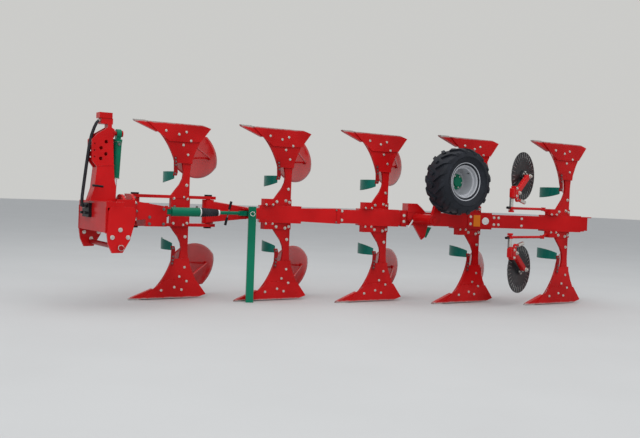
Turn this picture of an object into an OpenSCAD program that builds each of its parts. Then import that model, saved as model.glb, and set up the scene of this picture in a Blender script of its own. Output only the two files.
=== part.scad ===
// Mounted reversible mouldboard plough with five pairs of bodies on an angled beam.
// X runs rearwards, Y away from the ploughed side's viewer (travel's right), Z up.
// The working frame has its zero at the point of the first lower share.

/* [Layout] */
// Distance between two bodies along the beam
body_pitch = 1000; // [950:10:1050]
// Angle of the beam to the travel line
beam_angle = 20.5; // [19:0.5:22]
// Height of the beam's centre over the share points
beam_z = 851; // [830:1:880]
// Hitch line's distance to the left of the first landside
hitch_y = 300; // [280:5:330]

/* [Beam] */
// Width of the beam tube across
beam_w = 140; // [120:5:150]
// Height of the beam tube
beam_h = 136; // [130:2:140]
// Height of the tapered front section at its front
nose_h = 104; // [96:2:120]
// Height of the tapered front section at its flange
flare_h = 150; // [144:2:156]
// Thickness of the beam's joint flanges
flange_t = 36; // [24:2:44]

/* [Bodies] */
// Thickness of the legs
leg_t = 24; // [20:1:26]
// Thickness of the frog plates
frog_t = 14; // [12:1:16]
// Thickness of the landside plates
landside_t = 12; // [10:1:12]
// Thickness of the mouldboards and shares
board_t = 9; // [7:1:10]
// Width of the share points
point_w = 44; // [38:1:48]
// Height of the trashboards
trash_h = 108; // [95:1:115]
// Thickness of the trashboards
trash_t = 8; // [6:1:10]
// Diameter of the mouldboard struts
strut_d = 18; // [14:1:22]
// Thickness of the bracket cheeks beside each leg
cheek_t = 12; // [10:1:16]

/* [Headstock] */
// Distance between the two link plates, centre to centre
link_gap = 840; // [800:10:860]
// Thickness of the link plates
link_t = 25; // [20:1:30]
// Diameter of the lower link pins
link_pin_d = 36.5; // [28:0.1:37]
// Diameter of the shaft between the link plates
link_shaft_d = 44; // [40:1:50]
// Height of the lower link shaft over the share points
link_pin_z = 548; // [535:1:560]
// Inner distance of the top link plates
top_gap = 100; // [90:1:110]
// Thickness of the tower plates
tower_t = 20; // [16:1:22]
// Diameter of the top link holes
top_hole_d = 32; // [25:1:33]
// Diameter of the turnover cylinder's barrel
turn_barrel_d = 74; // [66:1:80]
// Diameter of the turnover cylinder's rod
turn_rod_d = 40; // [32:1:44]
// Radius of the turnover crank
crank_r = 100; // [95:1:104]

/* [Front frame] */
// Diameter of the turnover shaft
turn_shaft_d = 119.9; // [110:0.1:124]
// Diameter of the two upright pivot pins
pivot_pin_d = 50; // [44:1:54]
// Thickness of the front link's plates
link_plate_t = 30; // [24:1:32]
// Diameter of the swing cylinder's barrel
swing_barrel_d = 84; // [76:1:88]
// Diameter of the swing cylinder's rod
swing_rod_d = 36; // [30:1:40]

/* [Wheel] */
// Outside diameter of the tyre over its lugs
tyre_d = 650; // [630:2:660]
// Width of the tyre
tyre_w = 296; // [280:2:304]
// Height of the tyre's lugs
lug_h = 18; // [14:1:22]
// Number of lugs on each side of the tyre
lug_count = 16; // [14:1:18]
// Flange diameter of the rim
rim_d = 344; // [336:2:352]
// Diameter of the wheel arm's pivot
arm_pin_d = 60; // [50:1:64]

/* [Disc coulters] */
// Diameter of the coulter discs
disc_d = 490; // [470:5:500]
// Number of flutes around a disc
flute_count = 32; // [24:1:36]
// Swivel of the discs to the travel line
disc_swivel = 18; // [14:1:20]
// Diameter of the coulter stems
stem_d = 34; // [28:1:38]

/* [Stand] */
// Width of the parking stand's tube along the beam
stand_w = 72; // [60:2:90]
// Depth of the parking stand's tube across the beam
stand_t = 50; // [40:2:60]

/* [Hidden] */
$fn = 48;
run_fit = 0.05;
face_gap = 5;
seat_gap = 0.2;
red = [0.78, 0.06, 0.07];
dark_red = [0.55, 0.05, 0.06];
green = [0.02, 0.42, 0.25];
black = [0.07, 0.07, 0.08];
bare = [0.72, 0.72, 0.70];
silver = [0.75, 0.76, 0.78];
body_count = 5;
step_x = body_pitch * cos(beam_angle);
step_y = body_pitch * sin(beam_angle);
// How far the plough reaches in the working frame, and its centre
front_reach = 529.5;
board_reach = 1052.4;
far_reach = 455;
near_reach = 1536.6;
origin_x = ((body_count - 1) * step_x + board_reach - front_reach) / 2;
origin_y = (far_reach - near_reach) / 2;
// The leg's foot point that the beam's line goes through
leg_x = 500;
leg_near_y = landside_t + frog_t;
leg_mid_y = leg_near_y + leg_t / 2;
bracket_z = 85;
bracket_top = 149;
nose_s = body_pitch - 300;
nose_end_s = body_pitch + 540;
collar_s = 2 * body_pitch + 205;
side_plate_s = 3 * body_pitch - 85;
beam_end_s = (body_count - 1) * body_pitch + 255;
wheel_x = 2 * step_x;
wheel_y = -2 * step_y;
last_x = (body_count - 1) * step_x;
last_y = -(body_count - 1) * step_y;

// Puts the working frame's drawing into the finished frame
module place() {
  translate([-origin_x, -origin_y, 0]) children();
}

// Draws the upper row as the mirror of the lower one
module in_row(upper) {
  if (upper) translate([0, 0, 2 * beam_z]) mirror([0, 0, 1]) children();
  else children();
}

// Repeats a body's piece, below and above, at the first body or at those of the beam
module at_bodies(on_link) {
  for (upper = [false, true], i = on_link ? [0] : [1 : body_count - 1])
    in_row(upper) translate([i * step_x, -i * step_y, 0]) children();
}

// Raises a side view outline (x, z) to a plate from y0 to y0 + t
module slab(y0, t) {
  translate([0, y0 + t, 0]) rotate([90, 0, 0]) linear_extrude(t) children();
}

// Moves into the beam's own frame: x along it, y away from the viewer, z from its centre
module on_beam() {
  translate([leg_x, leg_mid_y, beam_z]) rotate([0, 0, -beam_angle]) children();
}

// A round bar between two points
module bar(a, b, d) {
  v = b - a;
  len = norm(v);
  translate(a) rotate([0, acos(v[2] / len), atan2(v[1], v[0])]) cylinder(d = d, h = len);
}

// A round bar along Y
module y_bar(x, y0, z, d, len) {
  translate([x, y0, z]) rotate([-90, 0, 0]) cylinder(d = d, h = len);
}

// A round bar along X
module x_bar(x0, y, z, d, len) {
  translate([x0, y, z]) rotate([0, 90, 0]) cylinder(d = d, h = len);
}

// Sizes and drawings: headstock

turn_y = -hitch_y;
box_x = -455;
box_rear = -300;
box_low = 671;
box_top = 930;
tower_pin_z = 1530;
rod_x = -242;
eye_t = 40;
eye_d = 78;
boss_x = -284;
lean = atan(crank_r / (tower_pin_z - beam_z));
rod_len = norm([crank_r, tower_pin_z - beam_z]);
tower_side = top_gap / 2;
plate_skin = 14;
// The tower's side view, and its front and rear edges below the top link holes
tower_outline = [[-493, 1463], [-443, 1518], [-348, 1578], [-312, 1571], [-297, 1258], [-286, 1125],
  [-270, 1060], [-268, box_top], [-495, box_top], [-460, 1042], [-443, 1224], [-488, 1283]];
tower_front = [[-495, box_top], [-460, 1042], [-443, 1224]];
tower_rear = [[-312, 1480], [-297, 1258], [-286, 1125], [-270, 1060], [-268, box_top]];
link_holes = [[-368, 1448], [-412, 1392], [-368, 1342], [-412, 1300]];
side_holes = [1426, 1370, 1314];

module tower_cheek() {
  difference() {
    polygon(tower_outline);
    for (p = link_holes) translate(p) circle(d = top_hole_d);
    for (z = side_holes) translate([-468, z]) circle(d = 14);
  }
}

// A strip of plate along an edge of the side view
module edge_strip(points, t) {
  last = len(points) - 1;
  polygon(concat(points, [for (k = [last : -1 : 0]) points[k] + [t, 0]]));
}

// The two cheeks with the top link holes
module tower() {
  color(red) place() translate([0, turn_y, 0])
    for (s = [-1, 1]) slab(s * (tower_side + tower_t / 2) - tower_t / 2, tower_t) tower_cheek();
}

// What joins the cheeks: the edge strips below the holes and the turnover cylinder's pin
module tower_webs() {
  color(red) place() translate([0, turn_y, 0]) {
    slab(-tower_side, top_gap) edge_strip(tower_front, plate_skin);
    slab(-tower_side, top_gap) edge_strip(tower_rear, -plate_skin);
    translate([boss_x - 32, -tower_side, 1500]) cube([20, top_gap, 60]);
    x_bar(boss_x - 32, 0, tower_pin_z, 80, 32);
    x_bar(boss_x, 0, tower_pin_z, 36 - 2 * run_fit, rod_x + eye_t / 2 + 8 - boss_x);
    x_bar(rod_x + eye_t / 2 + 8, 0, tower_pin_z, 56, 10);
  }
}

module cross_box() {
  len = link_gap - link_t;
  cap_z = box_top - 50;
  difference() {
    translate([box_x, -len / 2, box_low]) cube([box_rear - box_x, len, box_top - box_low]);
    translate([box_x + plate_skin, -len / 2 - 1, box_low + plate_skin])
      cube([box_rear - box_x - 2 * plate_skin, len + 2, box_top - box_low - 2 * plate_skin]);
  }
  for (y = [-len / 2, len / 2 - plate_skin])
    translate([box_x + plate_skin, y, cap_z])
      cube([box_rear - box_x - 2 * plate_skin, plate_skin, box_top - plate_skin - cap_z]);
}

link_hole = [-335, link_pin_z];
link_stub = 50;

module link_plate_shape() {
  difference() {
    polygon([[-440, 850], [-420, 892], [-228, 892], [-212, 870], [-208, 780], [-252, 610], [-312, 505],
      [-402, 502], [-436, 575], [-448, 655]]);
    translate(link_hole) circle(d = link_shaft_d);
  }
}

module link_plates() {
  color(red) place() translate([0, turn_y, 0]) for (s = [-1, 1])
    slab(s * link_gap / 2 - link_t / 2, link_t) link_plate_shape();
}

module link_shaft() {
  len = link_gap + link_t;
  color(dark_red) place() {
    y_bar(link_hole[0], turn_y - len / 2, link_pin_z, link_shaft_d, len);
    y_bar(link_hole[0], turn_y - len / 2 - link_stub, link_pin_z, link_pin_d, len + 2 * link_stub);
  }
}

bridge_side = 190;
bridge_t = 20;
bearing_x = -185;
bearing_t = 50;

module bearing_bridge() {
  for (s = [-1, 1])
      translate([box_rear, s * bridge_side - bridge_t / 2, beam_z - 100])
        cube([bearing_x - box_rear, bridge_t, 200]);
  difference() {
    translate([bearing_x, -bridge_side - bridge_t / 2, beam_z - 100])
      cube([bearing_t, 2 * bridge_side + bridge_t, 200]);
    translate([bearing_x - 1, 0, beam_z]) rotate([0, 90, 0])
      cylinder(d = turn_shaft_d + 2 * run_fit, h = bearing_t + 2);
  }
}

module hitch_box() {
  color(red) place() translate([0, turn_y, 0]) {
    cross_box();
    bearing_bridge();
  }
}

module cap_block() {
  color(red) place() translate([0, turn_y, 0]) {
    translate([-352, -tower_side, 1500]) cube([36, top_gap, 104]);
    translate([-409, -46, 1604]) cube([102, 92, 51]);
    translate([-428, -52, 1655]) cube([114, 104, 49]);
  }
}

// A direction square to a path's direction, as near to Y as can be
function path_side(t) = unit([-t[1] * t[0], 1 - t[1] * t[1], -t[1] * t[2]]);

function path_ring(p, t, d, sides) = let (side = path_side(t), up = cross(t, side))
  [for (q = [0 : sides - 1]) p + d / 2 * (cos(360 * q / sides) * side + sin(360 * q / sides) * up)];

// Carries a round section along a list of points that lie nearly in an upright plane along X
module sweep(points, d) {
  sides = 10;
  last = len(points) - 1;
  rings = [for (k = [0 : last])
    each path_ring(points[k], unit(points[min(k + 1, last)] - points[max(k - 1, 0)]), d, sides)];
  walls = [for (k = [0 : last - 1], q = [0 : sides - 1])
    let (a = k * sides + q, b = k * sides + (q + 1) % sides)
    each [[a, b, b + sides], [a, b + sides, a + sides]]];
  first_end = [for (q = [0 : sides - 1]) sides - 1 - q];
  last_end = [for (q = [0 : sides - 1]) last * sides + q];
  polyhedron(rings, concat(walls, [first_end, last_end]));
}

hose_d = 20;
hose_path = [[-409, 0, 1636], [-417, 0, 1636], [-436, 0, 1616], [-456, 0, 1573], [-479, 0, 1502],
  [-495, 3, 1414], [-503, 10, 1326], [-510, 22, 1239], [-515, 38, 1150], [-519, 62, 1050], [-520, 88, 965],
  [-517, 104, 912], [-509, 112, 882], [-496, 114, 872], [-482, 114, 872]];
block_front = -482;

module hoses() {
  color(black) place() translate([0, turn_y, 0]) for (y = [-15, 15])
    sweep([for (p = hose_path) p + [0, y, 0]], hose_d);
}

// The block on the cross box that the hoses end in
module hose_block() {
  color(black) place() translate([block_front, turn_y + 10, 786])
    cube([box_x - block_front, 200, 124]);
}

// Sizes and drawings: turnover cylinder

module on_turn_cylinder() {
  translate([rod_x, turn_y, tower_pin_z]) rotate([lean, 0, 0]) children();
}

barrel_len = 400;

module turn_barrel() {
  color(green) place() on_turn_cylinder() {
    difference() {
      union() {
        translate([-eye_t / 2, 0, 0]) rotate([0, 90, 0]) cylinder(d = eye_d, h = eye_t);
        translate([-eye_t / 2, -24, -62]) cube([eye_t, 48, 62]);
        translate([0, 0, -60 - 14]) cylinder(d = turn_barrel_d + 6, h = 24);
      }
      translate([-eye_t, 0, 0]) rotate([0, 90, 0]) cylinder(d = 36, h = 2 * eye_t);
    }
    difference() {
      translate([0, 0, -barrel_len]) cylinder(d = turn_barrel_d, h = barrel_len - 74);
      translate([0, 0, -barrel_len - 1]) cylinder(d = turn_rod_d + 2 * run_fit, h = barrel_len - 100);
    }
  }
}

module turn_rod() {
  color(bare) place() on_turn_cylinder() {
    translate([0, 0, -rod_len + 30]) cylinder(d = turn_rod_d, h = rod_len - 30 - 230);
    translate([-eye_t / 2, 0, -rod_len]) rotate([0, 90, 0]) cylinder(d = eye_d, h = eye_t);
    translate([-eye_t / 2 - 12, 0, -rod_len]) rotate([0, 90, 0]) cylinder(d = 40, h = eye_t + 18);
  }
}

crank_x = -214;
hub_face_x = -128;
hub_flange_t = 22;

module turn_spindle() {
  crank_t = 24;
  flange_d = 300;
  x_bar(crank_x, 0, 0, 2 * crank_r + 90, crank_t);
  x_bar(crank_x + crank_t, 0, 0, turn_shaft_d, hub_face_x - crank_x - crank_t);
  x_bar(hub_face_x, 0, 0, flange_d, hub_flange_t);
}

// Sizes and drawings: front frame

arm_front = hub_face_x + hub_flange_t;
arm_rear = 190;
arm_half = 120;
front_pin = [48, 355];
rear_pin = [800, 360];
link_z = 120;

module hub_box() {
  slab(-arm_half, 2 * arm_half)
    polygon([[arm_front, 89], [arm_rear, 46], [arm_rear, -134], [-6, -134], [-6, -72], [arm_front, -79]]);
  difference() {
    union() {
      translate([arm_front + 6, arm_half, -72])
        cube([front_pin[0] + 60 - arm_front - 6, front_pin[1] - arm_half, 144]);
      translate([front_pin[0], front_pin[1], -72]) cylinder(d = 120, h = 144);
      translate([front_pin[0], front_pin[1], -link_z]) cylinder(d = 90, h = 2 * link_z);
    }
    translate([front_pin[0], front_pin[1], -link_z - 1]) cylinder(d = pivot_pin_d, h = 2 * link_z + 2);
  }
  for (z = [-122, 26]) translate([arm_rear, -45, z]) cube([12, 90, 20]);
  difference() {
    for (z = [26, -42]) translate([arm_rear, -45, z]) cube([62, 90, 16]);
    translate([arm_rear + 40, 0, -60]) cylinder(d = 30, h = 120);
  }
  translate([arm_rear + 40, 0, -52]) cylinder(d = 30, h = 104);
}

module turning_hub() {
  color(red) place() translate([0, turn_y, beam_z]) {
    turn_spindle();
    hub_box();
  }
}

module link_outline() {
  polygon([[-30, 300], [-30, 420], [60, 425], [300, 400], [620, 400], [800, 425], [865, 400], [865, 320],
    [800, 298], [620, 310], [300, 310], [60, 290]]);
}

module link_plates_pair() {
  translate([0, turn_y, beam_z]) for (s = [-1, 1])
    translate([0, 0, s > 0 ? link_z : -link_z - link_plate_t]) difference() {
      linear_extrude(link_plate_t) link_outline();
      translate([rear_pin[0], rear_pin[1], -1]) cylinder(d = pivot_pin_d, h = link_plate_t + 2);
      translate([front_pin[0], front_pin[1], -1]) cylinder(d = pivot_pin_d, h = link_plate_t + 2);
      translate([396, leg_near_y + hitch_y, -1]) cube([194, leg_t, link_plate_t + 2]);
    }
}

module link_webs() {
  translate([0, 0, beam_z]) {
    for (y = [leg_near_y - cheek_t, leg_near_y + leg_t])
      translate([396, y, -link_z]) cube([194, cheek_t, 2 * link_z]);
    translate([396, leg_near_y, -bracket_z]) cube([194, leg_t, 2 * bracket_z]);
  }
}

module front_link() {
  color(red) place() {
    link_plates_pair();
    link_webs();
  }
}

module pivot_pins() {
  half = link_z + link_plate_t;
  head_t = 16;
  color(black) place() translate([0, turn_y, beam_z]) for (p = [front_pin, rear_pin])
    translate([p[0], p[1], 0]) {
      translate([0, 0, -half]) cylinder(d = pivot_pin_d, h = 2 * half);
      for (z = [-half - head_t, half]) translate([0, 0, z]) cylinder(d = 76, h = head_t);
    }
}

// Sizes and drawings: frame swing cylinder

swing_pin_x = arm_rear + 40;
// The clevis keeps its place behind the beam's nose
clevis_back = 123.6705;
clevis_x = leg_x + nose_s * cos(beam_angle) - clevis_back;
swing_z = beam_z;

module swing_barrel() {
  color(green) place() translate([swing_pin_x, turn_y, swing_z]) {
    difference() {
      union() {
        cylinder(d = 64, h = 50, center = true);
        translate([0, -22, -22]) cube([44, 44, 44]);
      }
      cylinder(d = 30 + 2 * run_fit, h = 52, center = true);
    }
    difference() {
      translate([44, 0, 0]) rotate([0, 90, 0]) cylinder(d = swing_barrel_d, h = 290);
      translate([94, 0, 0]) rotate([0, 90, 0]) cylinder(d = swing_rod_d + 2 * run_fit, h = 250);
    }
  }
}

module swing_rod() {
  color(black) place() translate([swing_pin_x, turn_y, swing_z]) {
    translate([110, 0, 0]) rotate([0, 90, 0]) cylinder(d = swing_rod_d, h = 390);
    for (k = [0 : 6]) translate([345 + 22 * k, 0, 0]) rotate([0, 90, 0]) cylinder(d = 78 - 4 * k, h = 14);
  }
}

module turnbuckle() {
  color(green) place() translate([0, turn_y, swing_z]) {
    x_bar(swing_pin_x + 500, 0, 0, 50, 26);
    x_bar(swing_pin_x + 526, 0, 0, 34, clevis_x - 60 - swing_pin_x - 526);
    difference() {
      translate([clevis_x - 60, -26, -24]) cube([60, 52, 48]);
      translate([clevis_x, 0, -30]) cylinder(d = 62, h = 60);
    }
    difference() {
      translate([clevis_x, 0, -24]) cylinder(d = 62, h = 48);
      translate([clevis_x, 0, -30]) cylinder(d = 38, h = 60);
    }
  }
}

// Sizes and drawings: beam

head_dx = leg_x + nose_s * cos(beam_angle) - rear_pin[0];
head_dy = leg_mid_y - nose_s * sin(beam_angle) - rear_pin[1] - turn_y;
head_len = norm([head_dx, head_dy]);
head_angle = atan2(head_dy, head_dx);
head_half = 70;
lug_half = 34;
lug_rear = 56;
// The clevis lugs reach into the head's near face by this much
lug_bite = 19.864;
lug_len = rear_pin[1] + tan(head_angle) * (clevis_x + lug_rear - rear_pin[0])
  - head_half / cos(head_angle) + lug_bite + lug_half;

module beam_head() {
  color(red) place() {
    difference() {
      union() {
        translate([rear_pin[0], turn_y + rear_pin[1], beam_z]) {
          cylinder(d = 116, h = 2 * link_z - 6, center = true);
          rotate([0, 0, head_angle]) slab(-head_half, 2 * head_half)
            polygon([[0, 108], [head_len - 30, 54], [head_len - 30, -54], [0, -108]]);
        }
        on_beam() translate([nose_s - 60, -beam_w / 2, -nose_h / 2]) cube([60, beam_w, nose_h]);
        for (z = [-48, 34]) translate([clevis_x - lug_half, turn_y - lug_half, beam_z + z])
          cube([lug_half + lug_rear, lug_len, 14]);
      }
      translate([rear_pin[0], turn_y + rear_pin[1], beam_z])
        cylinder(d = pivot_pin_d + 2 * run_fit, h = 400, center = true);
      translate([clevis_x - 80, turn_y - 40, beam_z - 34]) cube([80 + lug_rear, 80, 68]);
    }
    translate([clevis_x, turn_y, beam_z - 56]) cylinder(d = 28, h = 112);
  }
}

module front_beam() {
  tube_s = nose_end_s + flange_t;
  color(red) place() on_beam() {
    slab(-beam_w / 2, beam_w) polygon([[nose_s, nose_h / 2], [nose_end_s, flare_h / 2],
      [nose_end_s, -flare_h / 2], [nose_s, -nose_h / 2]]);
    translate([tube_s, -beam_w / 2, -beam_h / 2]) cube([collar_s - tube_s, beam_w, beam_h]);
  }
}

collar_t = 54;

module rear_beam() {
  tube_s = collar_s + collar_t;
  color(red) place() on_beam() translate([tube_s, -beam_w / 2, -beam_h / 2])
    cube([beam_end_s - tube_s, beam_w, beam_h]);
}

module beam_joints() {
  color(red) place() on_beam() {
    translate([nose_end_s, -beam_w / 2 - 8, -flare_h / 2]) cube([flange_t, beam_w + 16, flare_h]);
    translate([collar_s, -beam_w / 2 - 14, -beam_h / 2 - 14]) cube([collar_t, beam_w + 28, beam_h + 28]);
    translate([side_plate_s, -beam_w / 2 - 10, -beam_h / 2]) cube([340, 10, beam_h]);
  }
}

// Sizes and drawings: body brackets

function nose_part(s) = (s - nose_s) / (nose_end_s - nose_s);

function beam_half(s) = s < nose_end_s ? (nose_h + (flare_h - nose_h) * nose_part(s)) / 2 : beam_h / 2;

pad_front = 235;
pad_rear = 180;
tail_t = 9;

// The packing under the beam, the cheeks beside the leg, and the last body's tail plate
module bracket(i, tail) {
  s0 = i * body_pitch;
  a = i == 1 ? beam_half(s0 - pad_front) : beam_h / 2;
  b = i == 1 ? beam_half(s0 + pad_rear) : beam_h / 2;
  on_beam() mirror([0, 0, 1]) {
    slab(-beam_w / 2, beam_w) polygon([[s0 - pad_front, a], [s0 + pad_rear, b], [s0 + pad_rear, bracket_z],
      [s0 - pad_front, bracket_z]]);
    if (tail > 0) translate([s0 + pad_rear, -beam_w / 2, beam_h / 2]) cube([tail, beam_w, tail_t]);
  }
  translate([i * step_x, -i * step_y, 0]) {
    for (y = [leg_near_y - cheek_t, leg_near_y + leg_t])
      translate([404, y, beam_z - bracket_top]) cube([184, cheek_t, bracket_top - bracket_z]);
    translate([282, leg_mid_y - 38, beam_z - bracket_top]) cube([114, 76, bracket_top - bracket_z]);
  }
}

module body_brackets() {
  color(red) place() for (upper = [false, true], i = [1 : body_count - 1])
    in_row(upper) bracket(i, i < body_count - 1 ? 0 : upper ? 120 : 40);
}

// Sizes and drawings: plough bodies

leg_top = beam_z - bracket_z;
leg_front = [[398, 702], [437, 652], [484, 592], [510, 535], [517, 483], [512, 430], [500, 380], [488, 330],
  [478, 270], [474, 205]];
leg_rear = [[590, 205], [598, 300], [597, 367], [590, 430], [586, 480], [586, leg_top], [398, leg_top]];

module leg() {
  slab(leg_near_y, leg_t) polygon(concat(leg_front, leg_rear));
}

module first_legs() {
  color(red) place() at_bodies(true) leg();
}

module beam_legs() {
  color(red) place() at_bodies(false) leg();
}

module frog() {
  slab(landside_t, frog_t) polygon([[302, 140], [354, 225], [401, 321], [424, 388], [600, 392], [606, 340],
    [644, 240], [672, 186], [640, 60], [320, 60]]);
}

module first_frogs() {
  color(red) place() at_bodies(true) frog();
}

module beam_frogs() {
  color(red) place() at_bodies(false) frog();
}

module landside() {
  slab(0, landside_t)
    polygon([[128, 8], [690, 12], [782, 40], [676, 178], [560, 186], [352, 186], [306, 150], [240, 104]]);
}

module first_landsides() {
  color(red) place() at_bodies(true) landside();
}

module beam_landsides() {
  color(red) place() at_bodies(false) landside();
}

module point_bar() {
  slab(landside_t, point_w) polygon([[0, 0], [14, 16], [236, 104], [246, 82], [112, 0]]);
}

module first_points() {
  color(red) place() at_bodies(true) point_bar();
}

module beam_points() {
  color(red) place() at_bodies(false) point_bar();
}

// The mouldboard's four edges as cubic curves
edge_front = [[250, 38, 96], [330, 38, 170], [405, 39, 300], [436, 44, 425]];
edge_low = [[250, 38, 96], [400, 190, 58], [560, 340, 60], [905, 384, 95]];
edge_top = [[436, 44, 425], [545, 128, 515], [830, 290, 610], [1045, 455, 395]];
edge_rear = [[905, 384, 95], [1000, 400, 180], [1060, 430, 290], [1045, 455, 395]];
share_reach = 0.62;
share_top = 0.965;
share_edge = [[48, 14, 7], [560, 352, 8]];
share_n = 6;
share_edge_t = 3;
point_side = landside_t + point_w + seat_gap;

function bez(p, t) = pow(1 - t, 3) * p[0] + 3 * t * pow(1 - t, 2) * p[1] + 3 * t * t * (1 - t) * p[2]
  + pow(t, 3) * p[3];

function board_at(u, v) = (1 - v) * bez(edge_low, u) + v * bez(edge_top, u) + (1 - u) * bez(edge_front, v)
  + u * bez(edge_rear, v) - (1 - u) * (1 - v) * edge_low[0] - u * (1 - v) * edge_low[3]
  - (1 - u) * v * edge_top[0] - u * v * edge_top[3];

function unit(v) = v / norm(v);

function board_out(u, v) =
  let (e = 0.01, a = max(u - e, 0), b = min(u + e, 1), c = max(v - e, 0), d = min(v + e, 1))
  unit(cross(board_at(b, v) - board_at(a, v), board_at(u, d) - board_at(u, c)));

function share_at(u, v) = (1 - v) * (share_edge[0] + u * (share_edge[1] - share_edge[0]))
  + v * bez(edge_low, share_reach * u);

function share_out(u, v) =
  let (e = 0.01, a = max(u - e, 0), b = min(u + e, 1), c = max(v - e, 0), d = min(v + e, 1))
  unit(cross(share_at(b, v) - share_at(a, v), share_at(u, d) - share_at(u, c)));

// Two triangles that close the four-cornered face a, b, c, d
function two(a, b, c, d) = [[a, b, c], [a, c, d]];

// Closes a grid of front and back points to a solid: n by m cells
module skin(front, back, n, m) {
  w = m + 1;
  k = (n + 1) * w;
  function at(i, j) = i * w + j;
  function cell(i, j) = two(at(i, j), at(i, j + 1), at(i + 1, j + 1), at(i + 1, j));
  faces = concat(
    [for (i = [0 : n - 1], j = [0 : m - 1]) each cell(i, j)],
    [for (i = [0 : n - 1], j = [0 : m - 1]) each [for (f = cell(i, j)) [f[2] + k, f[1] + k, f[0] + k]]],
    [for (i = [0 : n - 1]) each two(at(i, 0), at(i + 1, 0), k + at(i + 1, 0), k + at(i, 0))],
    [for (i = [0 : n - 1]) each two(at(i + 1, m), at(i, m), k + at(i, m), k + at(i + 1, m))],
    [for (j = [0 : m - 1]) each two(at(0, j + 1), at(0, j), k + at(0, j), k + at(0, j + 1))],
    [for (j = [0 : m - 1]) each two(at(n, j), at(n, j + 1), k + at(n, j + 1), k + at(n, j))]);
  polyhedron(concat(front, back), faces);
}

board_n = 12;
board_m = 7;

module board() {
  front = [for (i = [0 : board_n], j = [0 : board_m]) board_at(i / board_n, j / board_m)];
  back = [for (i = [0 : board_n], j = [0 : board_m]) let (u = i / board_n, v = j / board_m)
    board_at(u, v) + board_t * board_out(u, v)];
  skin(front, back, board_n, board_m);
}

// The share begins beside the point bar, so its first column lies in the bar's side plane
function share_from(v) = (1 - v) * (point_side - share_edge[0][1]) / (share_edge[1][1] - share_edge[0][1])
  + v * (point_side - edge_low[0][1]) / (3 * share_reach * (edge_low[1][1] - edge_low[0][1]));

function share_u(i, v) = share_from(v) + (1 - share_from(v)) * i / share_n;

function beside_point(p, i) = i == 0 ? [p[0], point_side, p[2]] : p;

module share() {
  front = [for (i = [0 : share_n], v = [0, share_top]) beside_point(share_at(share_u(i, v), v), i)];
  back = [for (i = [0 : share_n], v = [0, share_top])
    let (u = share_u(i, v), t = v == 0 ? share_edge_t : board_t)
    beside_point(share_at(u, v) + t * share_out(u, v), i)];
  skin(front, back, share_n, 1);
}

// Where the strut holds the board: shares of its length and its height
strut_u = 0.87;
strut_v = 0.62;
strut_gap = 0.4;

module strut() {
  foot = board_at(strut_u, strut_v);
  out = board_out(strut_u, strut_v);
  end = board_t + strut_d / 2 + 2;
  bar([648, leg_near_y, 232], foot + end * out, strut_d);
  bar(foot + (board_t + strut_gap) * out, foot + (end + 3) * out, 2 * strut_d);
}

module first_boards() {
  color(red) place() at_bodies(true) board();
}

module beam_boards() {
  color(red) place() at_bodies(false) board();
}

module first_shares() {
  color(red) place() at_bodies(true) share();
}

module beam_shares() {
  color(red) place() at_bodies(false) share();
}

module first_struts() {
  color(dark_red) place() at_bodies(true) strut();
}

module beam_struts() {
  color(dark_red) place() at_bodies(false) strut();
}

trash_r = 260;
trash_x = 375;
trash_y = 150;
trash_z = 472;

// A bent plate whose upper corner beside the landside is cut away
module trashboard() {
  intersection() {
    translate([trash_x + trash_r, trash_y, trash_z]) linear_extrude(trash_h) difference() {
      circle(r = trash_r);
      circle(r = trash_r - trash_t);
    }
    translate([trash_x - 10, 0, 0]) rotate([90, 0, 90]) linear_extrude(120)
      polygon([[landside_t, trash_z - 1], [landside_t, trash_z + 32], [landside_t + 40, trash_z + 78],
        [landside_t + 118, trash_z + trash_h + 1], [2 * trash_y, trash_z + trash_h + 1],
        [2 * trash_y, trash_z - 1]]);
  }
}

module trash_strap() {
  slab(0, landside_t) polygon([[406, 326], [436, 326], [450, 480], [440, 512], [404, 512], [412, 480]]);
}

module first_trash_straps() {
  color(red) place() at_bodies(true) trash_strap();
}

module beam_trash_straps() {
  color(red) place() at_bodies(false) trash_strap();
}

module first_trashboards() {
  color(green) place() at_bodies(true) trashboard();
}

module beam_trashboards() {
  color(green) place() at_bodies(false) trashboard();
}

// Sizes and drawings: stand

stand_s = nose_s - 23;
stand_n = 226;

module stand_bracket() {
  color(red) place() on_beam() translate([stand_s - 14, -stand_n + stand_t / 2 + face_gap, -34])
    cube([46, stand_n - stand_t / 2 - face_gap - beam_w / 2, 68]);
}

module stand_leg() {
  near = -stand_n - stand_t / 2;
  wall = 6;
  color(green) place() on_beam() translate([stand_s, 0, 0]) {
    difference() {
      translate([-stand_w / 2, near, -beam_z]) cube([stand_w, stand_t, beam_z + 68]);
      translate([-stand_w / 2 + wall, near + wall, -beam_z - 1])
        cube([stand_w - 2 * wall, stand_t - 2 * wall, beam_z + 60]);
      translate([0, near - 1, 0]) rotate([-90, 0, 0]) cylinder(d = 30, h = stand_t + 2);
    }
    translate([0, near - 12, 0]) rotate([-90, 0, 0]) cylinder(d = 30, h = stand_t + 12 + face_gap);
  }
}

// Sizes and drawings: wheel

arm_pin = [wheel_x + 800.7, beam_z];
wheel_pos = [wheel_x + 926.7, wheel_y - 644.6, beam_z + 384];
wheel_dx = wheel_pos[0] - arm_pin[0];
wheel_dz = wheel_pos[2] - arm_pin[1];
arm_plate_y = wheel_pos[1] + tyre_w / 2 + 20;
arm_t = 40;
axle_end = 14;
hub_near = 22;
rim_w = 260;
rim_disc_y = -rim_w / 2 + 62;
rim_disc_t = 8;
lug_t = 32;
lug_slant = 32;

bracket_s = 2 * body_pitch;
wheel_plate_t = 40;
pivot_end_y = leg_mid_y - (bracket_s + 380) * sin(beam_angle) - beam_w / 2 - wheel_plate_t / 2;

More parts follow.
